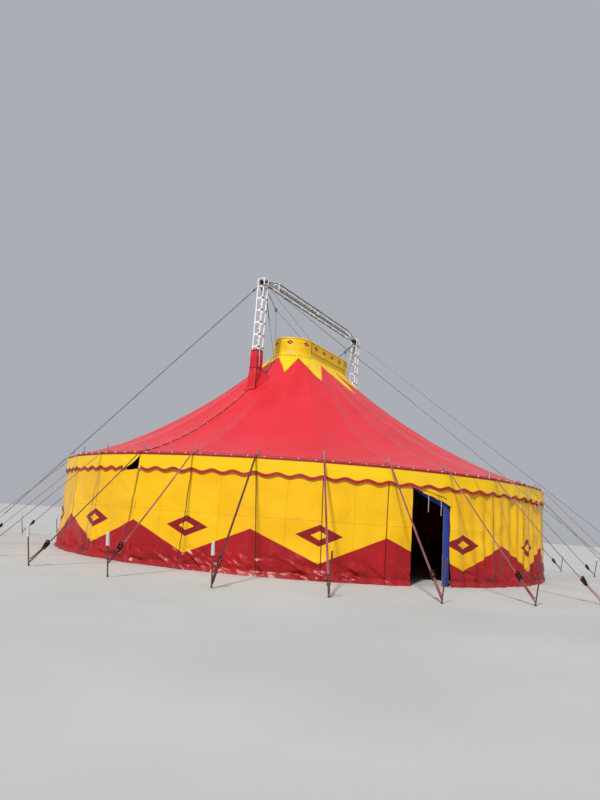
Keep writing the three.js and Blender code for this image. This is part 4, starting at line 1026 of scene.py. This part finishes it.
def add_strap(shape, points, aside, width=GUY_WIDTH, thickness=GUY_THICKNESS, new=0.0):
    """Flat webbing along a row of points, with its width lying along aside. new is 1 on a strap painted dark
    as shade.
    """
    measure = shape.verts.layers.float_vector.get("cut") or shape.verts.layers.float_vector.new("cut")
    before = len(shape.verts)
    stations = []
    for i, point in enumerate(points):
        along = (points[min(i + 1, len(points) - 1)] - points[max(i - 1, 0)]).normalized()
        stations.append((point, aside, along.cross(aside).normalized()))
    half, edge = width / 2, thickness * 0.5
    section = [(-half, -edge * 0.3), (-half + edge, -edge), (half - edge, -edge), (half, -edge * 0.3),
               (half, edge * 0.3), (half - edge, edge), (-half + edge, edge), (-half, edge * 0.3)]
    add_sweep(shape, stations, section)
    shape.verts.ensure_lookup_table()
    run = 0.0
    for i, point in enumerate(points):
        run += (point - points[i - 1]).length if i else 0.0
        for j, (a, _) in enumerate(section):
            shape.verts[before + i * len(section) + j][measure] = Vector((a, run, new))


for guy_set in range(PANELS):
    straps, belts, gear, stakes, caps = (bmesh.new() for _ in range(5))
    poles = range(guy_set * PANEL_BAYS, (guy_set + 1) * PANEL_BAYS)
    belt_middle = (BELT_INNER + BELT_OUTER) / 2
    for pole in poles:
        for start in (pole - 0.5, pole):
            belt = [roof_skin(b, roof_share(b, belt_middle), 0.007) for b in steps(start, start + 0.5, 6)]
            out = pole_line(start + 0.25, 1, -0.43).normalized()
            add_strap(belts, belt, out, BELT_OUTER - BELT_INNER)
    for pole in poles:
        out = pole_line(pole, 1, 0)
        aside = Vector((-out.y, out.x, 0))
        on_roof = [roof_skin(pole, roof_share(pole, radius), 0.013) for radius in ON_ROOF_RADII]
        edge = pole_line(pole, GUY_EDGE_RADIUS, EAVE_HEIGHT + 0.008)
        low_end = GUY_TIED_HIGH.get(pole, GUY_LOW_END)
        foot = pole_line(pole, STAKE_RADIUS + STAKE_LEAN * low_end / STAKE_HEIGHT, low_end)
        sag = [edge.lerp(foot, t) - UP * (GUY_SAG * 4 * t * (1 - t) * (0.6 + 0.4 * math.sin(pole * 2.3)))
               for t in steps(0, 1, 24)]
        height = RATCHET_HEIGHTS[pole % 4] + 0.05 * math.sin(pole * 1.9)
        low = (EAVE_HEIGHT - height) / (EAVE_HEIGHT - low_end)
        ratchet = edge.lerp(foot, low) - UP * 0.02
        upper = [p for p in sag if p.z > height + 0.06] + [ratchet]
        # A strap in shadow gets new 1, which paints it dark as shade
        new = 1.0 if pole in SHADED_STRAPS else 0.0
        add_strap(straps, on_roof + upper, aside, new=new)
        along = (foot - edge).normalized()
        up = aside.cross(along)
        up = up if up.z > 0 else -up
        turn = Matrix((along, aside, up)).transposed().to_4x4()
        # Below the ratchet the strap is doubled round the foot of the stake
        for lift, end in ((0.016, 0.05), (-0.012, -0.02)):
            stretch = [ratchet + along * 0.1 + up * lift, foot + UP * end - along * 0.03]
            add_strap(straps, [stretch[0].lerp(stretch[1], t) for t in steps(0, 1, 6)], aside, new=new)
        loop = [foot + out * (STRAP_LOOP * math.cos(t)) + aside * (STRAP_LOOP * math.sin(t)) - along * 0.02
                for t in steps(-2.6, 2.6, 10)]
        add_strap(straps, loop, UP, 0.05, 0.006)
        # Ratchet: two side plates, a spool with webbing on it, a handle and a fixed bolt
        for hand in (-1, 1):
            add_block(gear, ratchet + aside * 0.034 * hand + along * 0.05, RATCHET_PLATE, turn)
            add_block(gear, ratchet + aside * 0.042 * hand + along * 0.01 + up * 0.045, HANDLE_PLATE,
                      turn @ Matrix.Rotation(HANDLE_TILT, 4, "Y"))
        add_pin(gear, ratchet, aside * 0.052, SPOOL, 10)
        add_pin(gear, ratchet + along * 0.13, aside * 0.045, BOLT)
        add_pin(gear, ratchet - along * 0.075 + up * 0.068, aside * 0.055, SPOOL, 10)
        add_pin(straps, ratchet, aside * 0.026, ROLLED_UP, 14)
        # Ring on the roof that holds the strap to the spike
        add_ring(gear, roof_skin(pole, roof_share(pole, POLE_RADIUS - 0.075), 0.02), out + UP * 2,
                 0.07, 0.012)
        stake_foot = pole_line(pole, STAKE_RADIUS, 0)
        head = pole_line(pole, STAKE_RADIUS + STAKE_LEAN, STAKE_HEIGHT)
        lean = (head - stake_foot).normalized()
        add_tube(stakes, stake_foot, head, STAKE_DIAMETER)
        add_ring(stakes, stake_foot + lean * 0.03, lean, 0.05, 0.014)
        if pole in BARE_STAKES:
            for rib in range(RIBS):
                rib_foot = head - lean * (0.02 + rib * RIB_PITCH)
                add_tube(stakes, rib_foot, rib_foot + lean * RIB_PITCH / 2, 0.05, 12, 0.044)
            add_tube(stakes, head, head + lean * 0.012, 0.052, 12, 0.042)
        else:
            cap = head - lean * (CAP_HEIGHT - 0.02)
            rim, shoulder = cap + lean * 0.03, cap + lean * (CAP_HEIGHT - 0.015)
            add_tube(caps, cap, rim, 0.09, 16, 0.088)
            add_tube(caps, rim, shoulder, 0.084, 16, 0.072)
            add_tube(caps, shoulder, cap + lean * CAP_HEIGHT, 0.072, 16, 0.05)
    number = guy_set + 1
    make_piece(f"guy_straps_{number}", straps, webbing, f"guy_set_{number}")
    make_piece(f"eave_belt_{number}", belts, belt_webbing)
    make_piece(f"guy_gear_{number}", gear, ratchet_steel)
    make_piece(f"ground_stakes_{number}", stakes, stake_steel)
    if caps.verts:
        make_piece(f"stake_caps_{number}", caps, cap_rubber)
    else:
        caps.free()


# Valance. A band of yellow tarpaulin hung under the eave all round, cut in waves along its foot.
# The border is a red band welded on after the waves were cut, so that it follows them.
VALANCE_RADIUS, VALANCE_TOP, VALANCE_DROP, BORDER = 9.9995, 3.3035, 0.57, 0.088
WAVES_PER_BAY, WAVE_HEIGHT = 3, 0.04
CORNER_OPEN_BAYS, BUNCHED_BAY = 0.39, 7.7

# Red tarpaulin band in the shade of the eave: deeper than the roof
border_red, tree, _, down, _, flat = cloth_material("pvc_tarpaulin_border", GORE_WIDTH)
colour = coats(tree, "#9c131e", (patches(tree, 700, where=flat), "#b01a26"))
coated_cloth(tree, colour, flat, stripe(tree, down, 0.004), seam_and_shade_mark=0.2, dust=0.08, gloss=0.36,
             crease=0.006)


def on_chord(bay, radius, z):
    """Between two poles the cloth runs straight."""
    before = math.floor(bay)
    return pole_line(before, radius, z).lerp(pole_line(before + 1, radius, z), bay - before)


def valance_cut(bay, d):
    wave = -WAVE_HEIGHT * math.cos(2 * math.pi * WAVES_PER_BAY * bay)
    yellow_drop = VALANCE_DROP - WAVE_HEIGHT + wave - BORDER
    return bay, d * yellow_drop if d <= 1 else yellow_drop + (d - 1) * BORDER, 0.3


def valance_place(bay, d):
    drop = valance_cut(bay, d)[1]
    hang = max(drop - ROOF_HEM, 0) / (VALANCE_DROP - ROOF_HEM)
    at = bay
    if bay > BAYS - 1:
        # The end at the west pole is drawn back, which leaves a dark corner beside the pole
        at = bay - CORNER_OPEN_BAYS * hang ** 1.3 * (bay - BAYS + 1) ** 2
    looser = 1.7 if 5.5 < bay < 8.5 else 1.0
    flutter = 0.012 * math.sin(bay * 9.1 + math.sin(bay * 2.7) * 2)
    flutter += 0.026 * drift(bay * 2.2, 0, 8) + 0.016 * drift(bay * 7, hang, 3)
    # On the far side of the entrance the band is bunched up in pleats
    bunched = math.exp(-((bay - BUNCHED_BAY) / 0.6) ** 2)
    radius = VALANCE_RADIUS + hang * (looser * flutter + 0.07 * bunched * math.sin(bay * 41)) + 0.006
    return on_chord(at, radius, VALANCE_TOP - drop * (1 + 0.1 * bunched))


for quarter in range(4):
    first = quarter * QUARTER_BAYS
    band = cloth(f"valance_cloth_{quarter + 1}", steps(first, first + QUARTER_BAYS, QUARTER_BAYS * 24),
                 [0, 0.2, 0.4, 0.6, 0.8, 1, 1.25, 1.5, 1.75, 2], valance_place, valance_cut,
                 [yellow_cloth, border_red], f"valance_{quarter + 1}",
                 kind=lambda bay, d: 1 if d > 1 else 0)
# Short loops of white rope through the hem, and the one that should hold the corner at the west pole
eave_ties = bmesh.new()
for tie in range(BAYS * 4):
    bay = (tie + 0.5) / 4
    at, out = on_chord(bay, EAVE_RADIUS + 0.016, EAVE_HEIGHT - 0.004), pole_line(bay, 1, 0)
    add_ring(eave_ties, at, Vector((-out.y, out.x, 0.2)), 0.04, 0.018, 10)
loose_end = on_chord(0.03, VALANCE_RADIUS + 0.04, VALANCE_TOP - VALANCE_DROP + 0.11)
for tilt in ((1, 0.4, 0.3), (0.2, 1, 0.5)):
    add_ring(eave_ties, loose_end, tilt, 0.06, 0.024, 12)
make_piece("eave_ties", eave_ties, white_rope)


# Side wall. Glossy tarpaulin hooked on a rail behind the valance, welded from two widths to a bay,
# and laced on a slanting line at each pole. Yellow above, and below a red zigzag skirt.
WALL_RADIUS, WALL_TOP, BAY_WIDTH, WALL_COLUMNS = 9.955, 3.208, 1.952, 40
ZIGZAG_PEAK, ZIGZAG_VALLEY, DIAMOND_CENTRE = 1.27, 0.45, 1.22
BIG_DIAMOND, SMALL_DIAMOND = (0.68, 0.30), (0.25, 0.125)
MIDDLE_WELD = 1.62
DOOR_START, DOOR_END = 4.4, 5.08
DRAWN_ASIDE = [(5, 0.35), (5.8, 0.33), (7.2, 0.19), (8, 0.0)]
CORNER_DROP = [(31.5, 0.0), (31.7, 0.45), (32, 0.4)]
LACED_TO, LACING_SHIFTS = 1.15, {0: -0.2, 1: -0.08, 2: 0.14, 3: 0.05}
FOOT_SPREAD, SKIRT_TOP, SKIRT_CRUMPLE, SKIRT_FOLD = 0.09, 0.85, 0.15, 0.05
HANGING_FOLD, NARROW_FOLD, SLANTING_FOLD, PINCHED_FOLD, LACED_IN = 0.010, 0.034, 0.034, 0.02, 0.018

# Glossy tarpaulin: yellow, with a red skirt and red diamonds welded on, and sharp highlights
wall_cloth, tree, bay, height, laced, flat = cloth_material("pvc_tarpaulin_zigzag", BAY_WIDTH)
# 0 at an even pole, where the skirt has a peak, and 1 at an odd one, where it has a valley
swing = add_node(tree, "Math", (bay, 1.0), operation="PINGPONG")
edge = add_node(tree, "Math", (swing, ZIGZAG_VALLEY - ZIGZAG_PEAK, ZIGZAG_PEAK), operation="MULTIPLY_ADD")
over_edge = add_node(tree, "Math", (height, edge), operation="SUBTRACT")
skirt = add_node(tree, "MapRange", (over_edge, -0.004, 0.004, 1.0, 0.0))
from_odd = add_node(tree, "Math", (swing, -BAY_WIDTH, BAY_WIDTH), operation="MULTIPLY_ADD")
over_middle = add_node(tree, "Math", (height, DIAMOND_CENTRE), operation="SUBTRACT")
rise = add_node(tree, "Math", (over_middle,), operation="ABSOLUTE")
masks = []
for half_width, half_height in (BIG_DIAMOND, SMALL_DIAMOND):
    aside = add_node(tree, "Math", (from_odd, 1 / half_width), operation="MULTIPLY")
    whole = add_node(tree, "Math", (rise, 1 / half_height, aside), operation="MULTIPLY_ADD")
    masks.append(stripe(tree, whole, 1.0, 0.012))
sunned = patches(tree, 2200, where=flat)
yellow = coats(tree, "#eaae00", (sunned, "#f5be00"))
red = coats(tree, "#8f0711", (sunned, "#ad0a17"))
# The dark line along each slanting lacing is painted shade of the cloth's overlapping edge
lace = add_node(tree, "Math", (laced, 0.5), operation="PINGPONG")
lace_off = add_node(tree, "Math", (lace, BAY_WIDTH), operation="MULTIPLY")
half_bay = add_node(tree, "Math", (bay, 0.5), operation="ADD")
width_joint = add_node(tree, "Math", (half_bay, 0.5), operation="PINGPONG")
joint_off = add_node(tree, "Math", (width_joint, BAY_WIDTH), operation="MULTIPLY")
level = add_node(tree, "Math", (height, MIDDLE_WELD), operation="SUBTRACT")
welds = add_node(tree, "Math", (stripe(tree, joint_off, 0.004), stripe(tree, level, 0.004)),
                 operation="MAXIMUM")
splashed = add_node(tree, "MapRange", (height, 0.0, 0.3, 0.15, 0.0))
colour = coats(tree, yellow, (skirt, red), (masks[0], "#850b16"), (masks[1], yellow),
               (stripe(tree, over_edge, 0.007), "#a8480c"), (stripe(tree, lace_off, 0.014), "#2e1204"),
               (splashed, "#5d4034"))
coated_cloth(tree, colour, flat, welds, seam_and_shade_mark=0.4, dust=0.02, gloss=0.27, crease=0.022)


def lacing_shift(bay):
    """How far, in bays, the lacing at a pole slants aside by the time it reaches the ground."""
    before = math.floor(bay)
    here, after = (LACING_SHIFTS.get(pole % BAYS, 0.12 * math.sin(pole * 2.4))
                   for pole in (before, before + 1))
    return here + (after - here) * (bay - before)


def between_places(places, bay):
    """A value that runs straight from each (bay, value) place to the next."""
    bay = min(max(bay, places[0][0]), places[-1][0])
    (start, first), (end, last) = next(pair for pair in zip(places, places[1:]) if bay <= pair[1][0])
    return first + (last - first) * (bay - start) / (end - start)


def wall_cut(bay, height):
    """Beyond the entrance the panel is drawn aside, and its pattern with it."""
    aside = between_places(DRAWN_ASIDE, bay) if DOOR_END <= bay < 8 else 0.0
    laced = bay - lacing_shift(bay) * (1 - height / WALL_TOP)
    if height < LACED_TO and abs((bay + BAYS / 2) % BAYS - BAYS / 2) < 0.3:
        laced = 0.3
    return bay - aside, height, laced


def wall_place(bay, height, looseness=1.0, pleats=0.0):
    """The wall hangs straight from its rail; lower down it folds, and the skirt crumples."""
    down = 1 - height / WALL_TOP
    across = bay * BAY_WIDTH
    hanging = math.sin(across * 7.3 + 2.4 * drift(across * 0.5, height * 0.35, 0))
    narrow = drift(across * 2.6, height * 0.5, 5)
    out = looseness * down ** 0.8 * (HANGING_FOLD * hanging + NARROW_FOLD * narrow)
    slanting = drift(across * 1.1 + height * 1.6, height * 1.1 - across * 0.5, 9)
    out += SLANTING_FOLD * slanting * math.sin(math.pi * min(down * 1.1, 1))
    pinched = drift(across * 0.9 - height * 2.1, height * 1.9 + across * 0.8, 31)
    out += PINCHED_FOLD * looseness * (0.5 - abs(pinched)) * math.sin(math.pi * min(down * 1.05, 1))
    pleat = math.sin(across * 13 + 3 * drift(across * 0.7, height * 0.25, 41))
    out += pleats * pleat * min(down * 2.5, 1) * (0.6 + 0.4 * drift(across, height * 0.6, 51))
    near_ground = max(1 - height / SKIRT_TOP, 0) * min(0.25 + height / 0.18, 1)
    gathered = 0.35 + 2.2 * abs(drift(across * 0.55, 1.5, 3))
    crumple = drift(across * 2.6 + height * 2, height * 4.2, 13) + 0.5 * drift(across * 8, height * 9, 17)
    out += SKIRT_CRUMPLE * near_ground * gathered * crumple
    # Sharp slanting folds where the skirt stands on the ground
    ridge = abs(drift(across * 1.5 + height * 1.9, height * 0.6 - across * 0.3, 61))
    out += SKIRT_FOLD * max(1 - ridge * 6, 0) * min(near_ground * 2, 1)
    laced = bay - lacing_shift(bay) * down
    from_lace = abs(laced - round(laced)) * BAY_WIDTH
    out -= LACED_IN * math.exp(-(from_lace / 0.05) ** 2) * min(down * 6, 1)
    out = max(out, -0.045 if from_lace > 0.15 else -LACED_IN)
    # The foot lies a hand's width out on the ground, under a crease
    laid = FOOT_SPREAD * (0.8 + drift(across * 1.3, 0, 21))
    out += laid * max(1 - height / 0.12, 0) - 0.02 * math.exp(-((height - 0.16) / 0.05) ** 2)
    return on_chord(bay, WALL_RADIUS + out, max(height, 0.001))


heights = steps(WALL_TOP, 0.6, 26) + steps(0.6, 0, 18)[1:]
for panel in range(PANELS):
    start = DOOR_END if panel == 1 else panel * PANEL_BAYS
    end = DOOR_START if panel == 0 else (panel + 1) * PANEL_BAYS
    loose, pleats = (1.8, 0.052) if panel == 1 else (1.0, 0.0)

    def panel_place(bay, height):
        droop = 0.0
        if panel == PANELS - 1:
            # The upper corner beside the west pole has slipped off its hook and hangs down
            droop = between_places(CORNER_DROP, bay) * max(1 - (WALL_TOP - height) / 1.4, 0)
        return wall_place(bay, height, loose, pleats) - UP * droop

    sheet = cloth(f"wall_cloth_{panel + 1}", steps(start, end, round((end - start) * WALL_COLUMNS)), heights,
                  panel_place, wall_cut, [wall_cloth], f"wall_panel_{panel + 1}")


# Entrance. Between two poles the wall's corner is drawn up and tied, which leaves a slanting
# opening. A blue cotton curtain hangs on the rail inside it and is drawn to the far side.
DOOR_EDGE = [(4.4, 2.79), (4.7, 2.57), (5, 2.39), (5.08, 2.31)]
CURTAIN_RADIUS, CURTAIN_TOP, CURTAIN_TWIST_MM = 9.876, 3.178, 12
CURTAIN_BELOW_FLAP = [(4.4, 0.02), (4.7, 0.1), (5, 0.14)]
CURTAIN_STRIP_START, CURTAIN_GAP, CURTAIN_END = 4.985, 0.002, 5.11
TIES = ((4.66, 2.6, 0.5), (4.88, 2.46, 0.44))


def flap_height(bay, d):
    """Height on the flap, from its rail (d 0) down to its slanting edge (1)."""
    return WALL_TOP + (between_places(DOOR_EDGE, bay) - WALL_TOP) * d


def flap_place(bay, d):
    low = between_places(DOOR_EDGE, bay) + 0.012 * math.sin(bay * 31)
    fold = 0.028 * d * math.sin(bay * 17 + d * 2.2) + 0.03 * math.sin(math.pi * d) * d
    return on_chord(bay, WALL_RADIUS + max(fold, -0.01), WALL_TOP + (low - WALL_TOP) * d)


# On part of the flap the third measure draws the dark lacing line a little above its edge, as painted shade
# of the laced edge
flap = cloth("entrance_flap_cloth", steps(DOOR_START, DOOR_END, 24), steps(0, 1, 14), flap_place,
             lambda bay, d: (bay - 0.35, flap_height(bay, d), (d - 0.84) * 0.45 if 4.57 < bay < 5.0 else 0.3),
             [wall_cloth], "entrance_flap")

# Woven cotton dyed blue: matt and soft, and uneven where the dye has faded
blue_cloth, tree, *_, flat = cloth_material("woven_cotton_blue", BAY_WIDTH)
colour = coats(tree, "#0c2a80", (patches(tree, 160, where=flat), "#153a9c"))
threads = add_node(tree, "TexNoise", {"Vector": flat, "Scale": 1000 / CURTAIN_TWIST_MM, "Detail": 2.0})
close_material(tree, (threads, 0.4, 0.001), Base_Color=colour, Roughness=0.9, Sheen_Weight=0.15,
               Sheen_Roughness=0.5)


def curtain_place(bay, d):
    low = between_places(DOOR_EDGE, bay) - between_places(CURTAIN_BELOW_FLAP, bay)
    if bay >= CURTAIN_STRIP_START:
        low = 0.03
    fold = 0.014 * math.sin(bay * 52) * min(d * 3, 1)
    return on_chord(bay, CURTAIN_RADIUS - abs(fold) * 1.6, CURTAIN_TOP + (low - CURTAIN_TOP) * d)


header_end = CURTAIN_STRIP_START - CURTAIN_GAP
curtain_bays = steps(DOOR_START - 0.2, header_end, 48) + steps(CURTAIN_STRIP_START, CURTAIN_END, 12)
curtain = cloth("entrance_curtain_cloth", curtain_bays, steps(0, 1, 30), curtain_place,
                lambda bay, d: (bay, d * 3.0, 0.0), [blue_cloth], "entrance_curtain",
                opening=lambda bay, d: header_end < bay < CURTAIN_STRIP_START)

# Pale cotton tape, the tie of the drawn-up corner: matt, with a fine grain
tape, tree = new_material("cotton_tape")
colour = coats(tree, "#a49b88", (patches(tree, 60), "#7f7766"))
close_material(tree, (patches(tree, 4), 0.4, 0.001), Base_Color=colour, Roughness=0.9, Sheen_Weight=0.3)
for number, (bay, top, length) in enumerate(TIES, start=1):
    def tie_place(a, d, bay=bay, top=top, length=length):
        out = 0.035 + 0.012 * math.sin(d * 4 + bay) + 0.003 * math.cos(a * 60)
        return on_chord(bay + (a + 0.008 * math.sin(d * 6)) / BAY_WIDTH, WALL_RADIUS + out, top - length * d)

    tie = cloth(f"entrance_tie_{number}", steps(-0.015, 0.015, 4), steps(0, 1, 14), tie_place,
                lambda a, d: (a, d, 0.0), [tape])


# Floor and light of the studio. A pale level floor and an even pale room, with a strong lamp high on
# the left, its shadows a little soft, and a weak and very soft one on the right.
FLOOR_SIZE, ROOM_STRENGTH = 240, 0.5
# Each lamp's way round the tent and its height in degrees, its strength, and its softness in degrees
LAMPS = {"key": (190, 46, 3.1, 5), "fill": (262, 30, 0.12, 50)}

# Smooth pale screed with very faint clouds in it
screed, tree = new_material("studio_screed")
close_material(tree, Base_Color=coats(tree, "#bcbcba", (patches(tree, 4000), "#b3b2b0")), Roughness=0.85)

ground = bmesh.new()
bmesh.ops.create_grid(ground, x_segments=8, y_segments=8, size=FLOOR_SIZE / 2)
floor_mesh = bpy.data.meshes.new("studio_floor")
ground.to_mesh(floor_mesh)
ground.free()
floor_mesh.materials.append(screed)
floor = bpy.data.objects.new("studio_floor", floor_mesh)
bpy.context.scene.collection.objects.link(floor)

for name, (around, above, strength, softness) in LAMPS.items():
    light = bpy.data.lights.new(name, "SUN")
    light.energy, light.angle = strength, math.radians(softness)
    lamp = bpy.data.objects.new(name, light)
    around, above = math.radians(around), math.radians(above)
    level = Vector((math.cos(around), math.sin(around), 0)) * math.cos(above)
    towards = level + UP * math.sin(above)
    lamp.rotation_euler = towards.to_track_quat("Z", "Y").to_euler()
    bpy.context.scene.collection.objects.link(lamp)

room = bpy.data.worlds.new("studio")
bpy.context.scene.world = room
room.use_nodes = True
room.node_tree.nodes.clear()
pale = add_node(room.node_tree, "Background", {"Color": linear("#e9eef6"), "Strength": ROOM_STRENGTH})
add_node(room.node_tree, "OutputWorld", {"Surface": pale.outputs["Background"]})
bpy.context.scene.view_settings.view_transform = "Standard"
